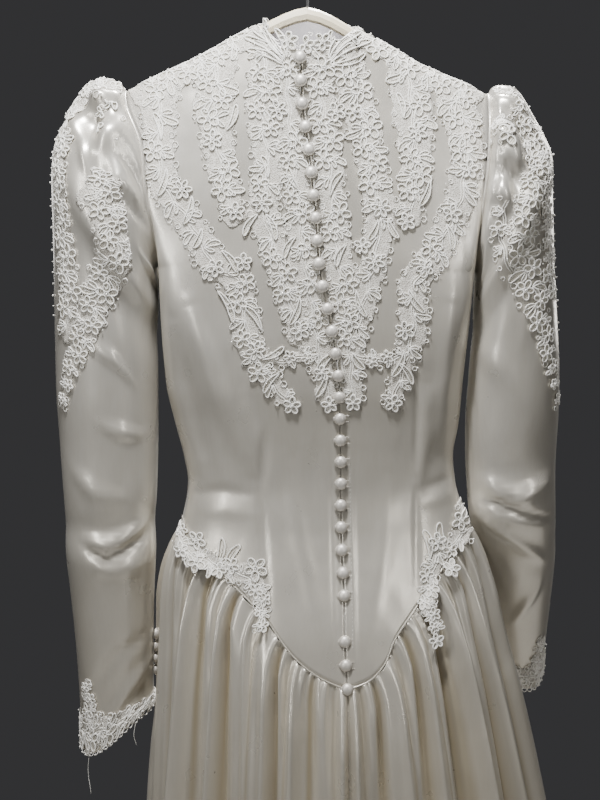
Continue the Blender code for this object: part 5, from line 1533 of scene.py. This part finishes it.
def build_skirt():
    """One ring of gathers, cut into the skirt's three panels."""
    ring, tint = [], []
    for side, facing in ((LEFT, BACK), (LEFT, FRONT), (RIGHT, FRONT), (RIGHT, BACK)):
        points, depth = skirt_quarter(side, facing)
        part = slice(None, -1) if side == facing else slice(None, 0, -1)
        ring.append(points[:, part])
        tint.append(depth[:, part])
    ring, tint = np.concatenate(ring, axis=1), np.concatenate(tint, axis=1)
    reach = (ring - SLEEVE_REST) / SLEEVE_REST_SPAN
    ring[..., 0] -= SLEEVE_REST_DEPTH * np.exp(-(reach ** 2).sum(axis=2))
    normals = outward(ring, np.array([-0.03, 0.0, -1.1]), closed=True)
    normals[0, :, 2] = 0
    normals = unit(normals)
    back, front = (SKIRT_FOLDS[facing] * FOLD_COLUMNS for facing in (BACK, FRONT))
    spans = {
        "skirt_back_left": (0, back),
        "skirt_front": (back, back + 2 * front),
        "skirt_back_right": (back + 2 * front, 2 * back + 2 * front),
    }
    for name, (first, last) in spans.items():
        columns = np.arange(first, last + 1) % ring.shape[1]
        panel, upright = ring[:, columns].copy(), normals[:, columns]
        for end in (0, -1):
            axis = 0 if columns[end] == 0 else 1
            middle = panel[0, len(columns) // 2, axis] - panel[0, end, axis]
            panel[:, end, axis] += math.copysign(EDGE_GAP / 2, middle)
        rests = ["bodice_front"] if name == "skirt_front" else [name.replace("skirt", "bodice")]

        def cords(gather, panel=panel, upright=upright, middle=name == "skirt_back_left"):
            tube(gather, panel[-1], upright[-1], HEM_CORD, 6)
            if middle:
                tube(gather, panel[:, 0], upright[:, 0], MIDDLE_CORD, 6, lift=-MIDDLE_CORD_SUNK)

        shell(name, panel, upright, SKIRT_WALL, tint[:, columns], held="gathered", rests=rests, extras=cords)


class Draft:
    """Corded lace drawn flat, then laid over a surface. Each thing keeps its path and how it is made."""

    def __init__(self, serial):
        self.cords, self.fills, self.beads, self.taken = [], [], [], []
        self.serial = serial

    def next(self):
        self.serial += 1
        return wander(self.serial)

    def cord(self, path, look, closed=False, sides=4):
        def add(gather, points, normals):
            tube(gather, points, normals, look.radius, sides, closed, lift=look.lift)

        self.cords.append((np.asarray(path, float), add))

    def fill(self, outline, dome):
        def add(gather, points, normals):
            ring = points + normals * FILL_LIFT
            top = ring.mean(axis=0) + unit(normals.mean(axis=0)) * dome
            count = len(ring)
            faces = [(i, (i + 1) % count, count) for i in range(count)]
            gather.add(np.concatenate([ring, [top]]), faces, 1)

        self.fills.append((np.asarray(outline, float), add))

    def bead(self, place, radius, lift=BEAD_LIFT):
        def add(gather, points, normals):
            middle = points[0] + normals[0] * (lift + radius)
            gather.add(middle + unit(BALL_CORNERS) * radius, BALL_FACES, 2)

        self.beads.append((np.asarray([place], float), add))

    def free(self, place, radius, share=0.9):
        return all(np.hypot(*(place - other)) > share * (radius + size) for other, size in self.taken)

    def flower(self, place, radius, petals=5, spin=0.0, chosen=False):
        """Round looped petals about a beaded middle. One that isn't chosen needs a free place."""
        place = np.asarray(place, float)
        if not chosen and not self.free(place, radius):
            return
        self.taken.append((place, radius))
        turns = on_circle(9)
        wide = min(1.0, 3.4 / petals) * 1.05
        for petal in range(petals):
            ahead, aside = headed(spin + petal * 2 * math.pi / petals)
            reach = radius * (0.94 + 0.12 * self.next())
            middle = place + 0.60 * reach * ahead
            round_ = 0.43 * reach
            spun = np.outer(np.cos(turns) * round_, ahead) + np.outer(np.sin(turns) * round_ * wide, aside)
            self.cord(middle + spun, PETAL_CORD[chosen], True)
            if chosen:
                self.cord(middle + spun * 0.5 + 0.1 * (middle - place), INNER_PETAL_CORD, True, 3)
            self.fill(middle + spun * 0.9, PETAL_DOME)
        self.cord(place + 0.20 * radius * wave_points(on_circle(6)), HEART_CORD, True, 3)
        self.bead(place, 1.2 * MM)

    def leaf(self, base, tip, wide):
        """A chosen leaf that keeps later pieces off it."""
        ahead = tip - base
        length = float(np.hypot(*ahead))
        self.loop(base, math.atan2(ahead[1], ahead[0]), length, wide, True, True)
        for share in (0.3, 0.6, 0.85):
            self.taken.append((base + ahead * share, wide))

    def loop(self, base, heading, length, wide, filled=True, chosen=False):
        """A long drop-shaped loop from its base, with a rib down a long one."""
        turns = np.linspace(0, 2 * math.pi, 13)
        along = length * (0.5 - 0.5 * np.cos(turns))
        off = wide * np.sin(turns) * (0.35 + 0.65 * along / length)
        bend = LEAF_BEND * length * np.sin(math.pi * along / length) * (1 if self.next() > 0.5 else -1)
        ahead, aside = headed(heading)
        if not chosen and not self.free(base + ahead * length * 0.6, 0.0, 0.95):
            return
        outline = base + np.outer(along, ahead) + np.outer(off + bend, aside)
        self.cord(outline, LEAF_CORD[chosen])
        if filled:
            self.fill(outline[:-1], LEAF_DOME)
        if length > RIBBED_LENGTH:
            rib = np.linspace(0.1, 0.8, 6) * length
            rib_bend = LEAF_BEND * length * np.sin(math.pi * rib / length) * np.sign(bend[6])
            self.cord(base + np.outer(rib, ahead) + np.outer(rib_bend, aside), RIB_CORD, sides=3)

    def fan(self, base, heading, length):
        """Long loops that open from one place like a leaf spray."""
        for leaf in range(FAN_LEAVES):
            share = leaf / (FAN_LEAVES - 1) - 0.5
            reach = length * (1 - 0.35 * abs(share) * 2) * (0.85 + 0.3 * self.next())
            self.loop(base, heading + FAN_SPREAD * share, reach, reach * 0.21)

    def edge_loops(self, path):
        """Small round loops along a line."""
        circle = wave_points(on_circle(6))
        for place in resample(path, EDGE_LOOP_PITCH):
            size = EDGE_LOOP * (0.75 + 0.5 * self.next())
            if self.free(place, size):
                self.cord(place + circle * size, EDGE_CORD, True, 3)

    def spray(self, stroke, pitch=SPRAY_PITCH):
        """Flowers and leaf fans in turn down a stroke's double stem, with loops along its edges."""
        path = np.array([(row[0], row[1]) for row in stroke], float)
        halves = np.array([row[2] for row in stroke])
        run = run_along(path)
        count = max(2, int(round(run[-1] / pitch)))
        places = (np.arange(count) + 0.5) / count * run[-1]
        for station, at in enumerate(places):
            before, middle, after = (
                np.array([np.interp(reach, run, path[:, axis]) for axis in (0, 1)])
                for reach in (at - 4 * MM, at, at + 4 * MM)
            )
            half = float(np.interp(at, run, halves))
            ahead = unit(after - before)
            aside = np.array([-ahead[1], ahead[0]])
            hand = 1 if station % 2 else -1
            chance = self.next()
            size = min(0.74 * half, 10.4 * MM) * (0.84 + 0.26 * chance)
            heading = math.atan2(ahead[1], ahead[0])
            self.flower(middle + aside * hand * 0.34 * half, max(size, 5.6 * MM), 5, chance * 3)
            base = middle - aside * hand * 0.05 * half
            self.fan(base, heading - hand * (0.95 + 0.4 * chance), 0.85 * half + 2 * MM)
            self.bead(middle + aside * hand * 0.95 * half, 0.9 * MM)
        fine = resample(path, STEM_PITCH)
        number = np.arange(len(fine))
        sway = np.sin(number * 0.8)[:, None] * STEM_HALF
        side = unit(np.gradient(fine, axis=0))[:, ::-1] * (-1, 1)
        for hand in (1, -1):
            self.cord(fine + side * (sway + hand * STEM_HALF), STEM_CORD)
        wide = np.interp(np.linspace(0, run[-1], len(fine)), run, halves)[:, None]
        for hand in (1, -1):
            self.edge_loops(fine + side * hand * wide * (0.80 + 0.14 * np.sin(number * 0.9)[:, None]))

    def sew(self, gather, surface, allowed=None, needed=0.6):
        """Lays all over the surface, bar what has too small a share where `allowed` is above zero."""
        items = self.cords + self.fills + self.beads
        points, normals = surface(np.concatenate([path for path, add in items]))
        start = 0
        for path, add in items:
            part = slice(start, start + len(path))
            start = part.stop
            if allowed is None or (allowed(path) > 0).mean() > needed:
                add(gather, points[part], normals[part])


def resample(path, pitch):
    path = np.asarray(path, float)
    run = run_along(path)
    count = max(3, int(run[-1] / pitch) + 1)
    at = np.linspace(0, run[-1], count)
    return np.stack([np.interp(at, run, path[:, axis]) for axis in (0, 1)], axis=1)


def net_patch(place, strokes, surface, inside, under, cords, pitch):
    """The net that carries a lace, cut to its motifs' outline, in place of the CAD overlay."""
    strokes = [[Stroke(*row) for row in stroke] for stroke in strokes]
    corners = np.array([(row.x, row.z) for stroke in strokes for row in stroke])
    low, high = corners.min(axis=0) - NET_MARGIN, corners.max(axis=0) + NET_MARGIN
    u, v = np.meshgrid(np.arange(low[0], high[0], pitch), np.arange(low[1], high[1], pitch))
    values = (stroke_field(strokes, u, v) - NET_TRIM).ravel()
    flat = np.stack([u.ravel(), v.ravel()], axis=1)
    if inside:
        values = np.minimum(values, inside(flat))
    joined = np.concatenate([flat, values[:, None]], axis=1)
    kept, triangles = clip_to_field(joined, cell_triangles(*u.shape, False), values)
    points, normals = surface(kept[:, :2])
    both, faces = thicken(points + normals * NET_LIFT, normals, triangles, -NET_THICKNESS)
    gather = Gather()
    gather.add(both, faces)
    made = gather.piece(f"lace_net_{place}", [NET], [f"lace_{place}"])
    wide, tall = kept[:, :2].max(axis=0) - kept[:, :2].min(axis=0)
    state_sheet(made, wide, tall, surface_area(points, triangles), "laid", [under], with_pieces=[cords])


def lay(draft, place, strokes, surface, under, inside, allowed=None, needed=0.6, pitch=NET_PITCH):
    """Sews a drawn lace over a surface, with its net beneath."""
    gather = Gather()
    draft.sew(gather, surface, allowed, needed)
    cords = gather.piece(f"lace_cords_{place}", LACE_LOOKS)
    net_patch(place, strokes, surface, inside, under, cords, pitch)


def inside_bodice(side, facing, over=0.0):
    """Maps (x, z) places to how far each lies inside half a bodice, or up to `over` above its edge."""

    def allowed(places):
        x, z = places[:, 0], places[:, 1]
        top = edge_over(side, np.clip(share_of(side, x, z, facing), 0, 1), facing)[0]
        middle = side * (x - centre_line(z, facing)) - 0.6 * MM
        rim = side * (body(edge_name(side), z) - x) - 1.0 * MM
        return np.minimum(np.minimum(middle, rim), top - z + over)

    return allowed


def build_back_lace(side):
    """Chosen flowers and leaves on one half of the back, then sprays down its strokes."""
    draft = Draft(DRAWS["back"][side])
    for bloom in BLOOMS:
        place = behind([(bloom.px, bloom.py)])[0]
        if side * (place[0] - float(body("centre", place[1]))) > 0:
            petals = 6 if bloom.radius > BIG_BLOOM else 5
            draft.flower(place, bloom.radius, petals, draft.next() * 3, True)
    for leaf in LEAVES:
        base, tip = behind([(leaf.px, leaf.py), (leaf.tip_px, leaf.tip_py)])
        if side * (base[0] - float(body("centre", base[1]))) > 0:
            draft.leaf(base, tip, leaf.half)
    for stroke in LACE_BACK[side]:
        draft.spray(stroke)
    name = edge_name(side)
    lay(draft, f"back_{name}", LACE_BACK[side], bodice_surface(side, BACK), f"bodice_back_{name}",
        inside_bodice(side, BACK), inside_bodice(side, BACK, NECK_STAND))


def build_front_lace(side):
    draft = Draft(DRAWS["front"][side])
    strokes = [[(row.x * side, row.z, row.half) for row in stroke] for stroke in LACE_FRONT_HALF]
    for stroke in strokes:
        draft.spray(stroke, FRONT_SPRAY_PITCH)
    lay(draft, f"front_{edge_name(side)}", strokes, bodice_surface(side, FRONT), "bodice_front",
        inside_bodice(side, FRONT), inside_bodice(side, FRONT, FRONT_STAND))


def over_waist(side):
    """Lace that crosses the waist seam stands clear of the gathers below it."""

    def extra(x, z):
        below = waist_height(side, np.clip(share_of(side, x, z, BACK), 0, 1), BACK) - z
        return OVER_WAIST * np.clip(0.2 + below / OVER_WAIST_RUN, 0, 1)

    return extra


def build_hip_lace(side):
    draft = Draft(DRAWS["hip"][side])
    for bloom in HIP_BLOOMS[side]:
        draft.flower(behind([(bloom.px, bloom.py)])[0], bloom.radius, 5, draft.next() * 3, True)
    strokes = []
    for stroke in HIP_SPRAY[side]:
        places = behind([(row.px, row.py) for row in stroke])
        strokes.append([(x, z, row.half) for (x, z), row in zip(places, stroke)])
        draft.spray(strokes[-1], HIP_SPRAY_PITCH)
    for ax, ay, bx, by in HIP_CURLS[side]:
        start, end = behind([(ax, ay), (bx, by)])
        ahead = end - start
        draft.loop(start, math.atan2(ahead[1], ahead[0]), float(np.hypot(*ahead)), HIP_CURL_HALF, False)
    name = edge_name(side)
    lay(draft, f"hip_{name}", strokes, bodice_surface(side, BACK, over_waist(side)), f"bodice_back_{name}",
        None, pitch=HIP_NET_PITCH)


def build_cap_lace(side, sleeve):
    """The lace seen on a puff, and its like on the puff's front, with beads down the outer line."""
    draft = Draft(DRAWS["sleeve"][side])
    strokes = []
    for stroke in SLEEVE_LACE[side]:
        seen = [(*sleeve.find_in_chart(row.px, row.py), row.half) for row in stroke]
        strokes.append(seen)
        strokes.append([(-a, b + 3 * MM, half) for a, b, half in seen])
    for stroke in strokes:
        draft.spray(stroke)
    for number in range(CAP_BEADS):
        height = -0.03 - 0.0074 * number - 0.005 * draft.next()
        draft.bead((0.016 * math.sin(number * 2.1), height), (0.8 + 0.5 * draft.next()) * MM, 0.1 * MM)
    name = edge_name(side)
    lay(draft, f"sleeve_{name}", strokes, sleeve.chart_surface, f"sleeve_{name}", sleeve.on_chart,
        sleeve.on_chart, 0.97)


def build_cuff_lace(side, sleeve):
    """A band round the wrist with a point, small loops along the edge, and the left cuff's loose threads."""
    half_round = sleeve.arc[-1, -1] / 2
    peak = half_round * CUFF_POINT_ANGLE / 180
    strokes = [
        [(-half_round, CUFF_BAND, 0.010), (0.0, CUFF_BAND, 0.012), (peak, CUFF_BAND + 4 * MM, 0.015),
         (half_round, CUFF_BAND, 0.010)],
        [(peak, 0.016, 0.014), (peak - 4 * MM, 0.036, 0.010), (peak - 6 * MM, CUFF_PEAK, 0.006)],
    ]
    draft = Draft(DRAWS["cuff"][side])
    for stroke in strokes:
        draft.spray(stroke, CUFF_SPRAY_PITCH)
    turns = np.linspace(math.pi, 2 * math.pi, 7)
    for number in range(int(2 * half_round / CUFF_LOOP_PITCH)):
        at = -half_round + number * CUFF_LOOP_PITCH
        path = np.stack([at + 3.4 * MM * np.cos(turns), 1 * MM + 3.6 * MM * np.sin(turns)], axis=1)
        draft.cord(path, EDGE_CORD)
        draft.bead((at, -1.5 * MM), 0.8 * MM)
    for start, length in LOOSE_THREADS if side == LEFT else ():
        drop = np.linspace(0, 1, 9)
        sway = 2 * MM * np.sin(drop * 5 + start * 90)
        draft.cord(np.stack([start + sway, -drop * length], axis=1), LOOSE_CORD, sides=3)
    name = edge_name(side)
    lay(draft, f"cuff_{name}", strokes, sleeve.cuff_surface, f"sleeve_{name}",
        lambda places: places[:, 1] - 0.5 * MM)


def build_sleeve(side):
    """A sleeve with a cord in its armhole seam, and its lace."""
    name = edge_name(side)
    sleeve = Sleeve(side)
    seam = sleeve.grid[0] - (side * 0.4 * MM, 0, 0)

    def pipe(gather):
        tube(gather, seam, unit(seam - seam.mean(axis=0)), ARMHOLE_CORD, 6, True, 1.0, -ARMHOLE_CORD_SUNK)

    shell(f"sleeve_{name}", sleeve.grid, sleeve.normals, SLEEVE_WALL, closed=True,
          rests=[f"bodice_back_{name}"], extras=pipe)
    build_cap_lace(side, sleeve)
    build_cuff_lace(side, sleeve)
    return sleeve


def build_button(node, normal, loop):
    """A covered button over its CAD solid, with the loop that closes it."""
    tall = BUTTON_EDGE + BUTTON_DOME
    base = middle_of(node) - normal * tall / 2
    side = unit(np.cross(normal, (0.0, 0.0, 1.0)))
    up = np.cross(side, normal)
    turns = on_circle(BUTTON_SIDES)
    circle = np.outer(np.cos(turns), side) + np.outer(np.sin(turns), up)
    gather = Gather()
    rings = []
    for radius, height in BUTTON_PROFILE:
        pucker = 1 + BUTTON_PUCKER * np.cos(BUTTON_PUCKERS * turns)[:, None] * (radius > 0.9)
        rings.append(base + circle * pucker * max(radius, 0.02) * BUTTON_RADIUS + normal * height * tall)
    gather.add(np.array(rings), cell_triangles(len(rings), BUTTON_SIDES, True))
    if loop:
        arc = np.linspace(-0.5 * math.pi, 0.5 * math.pi, 9)
        line = base + np.outer(np.sin(arc) * LOOP_HALF, up)
        line[:, 0] += np.cos(arc) * LOOP_REACH
        line = np.concatenate([line[:1] - (LOOP_TAIL, 0, 0), line, line[-1:] - (LOOP_TAIL, 0, 0)])
        tube(gather, line, np.tile(normal, (len(line), 1)), LOOP_CORD.radius, 5, lift=LOOP_CORD.lift)
    gather.piece(f"{node}_covered", [BUTTON_SATIN], [node])


def build_buttons(sleeves):
    """Every button faces as the cloth under it does."""
    on_back = bodice_surface(LEFT, BACK)
    for node in sorted(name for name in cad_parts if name.startswith("button_")):
        middle = middle_of(node)
        if "back" in node:
            normal = on_back(np.array([[middle[0] + 1 * MM, middle[2]]]))[1][0]
        else:
            sleeve = sleeves[LEFT if "left" in node else RIGHT]
            gaps = np.linalg.norm(sleeve.grid.reshape(-1, 3) - middle, axis=1)
            normal = sleeve.normals.reshape(-1, 3)[int(np.argmin(gaps))]
        build_button(node, normal, "back" in node)


def build_stitches():
    """Topstitching beside the placket, and the threads of the lost button."""
    gather = Gather()
    surface = bodice_surface(RIGHT, BACK)
    line = resample(behind(STITCH_LINE), STITCH_PITCH)
    points, normals = surface(line)
    for start in range(0, len(line) - STITCH_POINTS, STITCH_REPEAT):
        part = slice(start, start + STITCH_POINTS)
        tube(gather, points[part], normals[part], STITCH_CORD.radius, lift=STITCH_CORD.lift)
    for number, length in enumerate(LOST_THREADS):
        base = behind([(LOST_BUTTON[0] + number, LOST_BUTTON[1])])[0]
        drop = np.linspace(0, 1, 8)
        sway = np.sin(drop * 4 + number * 2) * 1.6 * MM
        points, normals = surface(base + np.stack([sway + number * 1 * MM, -drop * length], axis=1))
        tube(gather, points, normals, LOST_THREAD_CORD.radius, lift=LOST_THREAD_CORD.lift)
    gather.piece("placket_stitches", [CORD])


def aimed(thing, target):
    away = np.asarray(target) - np.array(thing.location[:])
    thing.rotation_mode = "QUATERNION"
    thing.rotation_quaternion = Vector(away.tolist()).to_track_quat("-Z", "Y")


def add_light(light):
    data = bpy.data.lights.new(light.name, "AREA")
    data.shape = "RECTANGLE"
    data.size, data.size_y = light.size
    data.energy = light.power
    data.color = light.colour
    made = linked(light.name, data)
    made.location = light.place
    aimed(made, light.target)


def build_room():
    """A pale round floor, the lights, a dark grey studio and the photo's camera."""
    mesh = bpy.data.meshes.new("floor")
    rim = [(*place, FLOOR_HEIGHT) for place in (FLOOR_RADIUS * wave_points(on_circle(FLOOR_SIDES))).tolist()]
    mesh.from_pydata(rim, [], [tuple(range(FLOOR_SIDES))])
    n = Nodes("floor_pale")
    n.colour(n.mix(n.spread(n.noise(3, 3), 0.3, 0.7), FLOOR_PALE, FLOOR_DEEP))
    n.set(rough=0.6)
    mesh.materials.append(n.material)
    linked("floor", mesh)
    for light in LIGHTS:
        add_light(light)
    world = bpy.data.worlds.new("studio")
    bpy.context.scene.world = world
    world.use_nodes = True
    sky = world.node_tree.nodes["Background"]
    sky.inputs["Color"].default_value = STUDIO_GREY
    sky.inputs["Strength"].default_value = 1.0
    data = bpy.data.cameras.new("camera")
    data.lens = LENS
    data.sensor_width = SENSOR
    camera = linked("camera", data)
    camera.location = CAMERA.tolist()
    aimed(camera, AIM)
    bpy.context.scene.camera = camera


def dress_node(node, looks):
    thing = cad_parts[node]
    if not thing.data.materials:
        thing.data.materials.append(looks)
    for slot in thing.material_slots:
        slot.material = looks


build_room()
build_panels()
build_underlap()
build_skirt()
for hand in (LEFT, RIGHT):
    build_back_lace(hand)
    build_front_lace(hand)
    build_hip_lace(hand)
build_buttons({hand: build_sleeve(hand) for hand in (LEFT, RIGHT)})
build_stitches()
dress_node("hanger", plastic())
dress_node("hook", chrome())
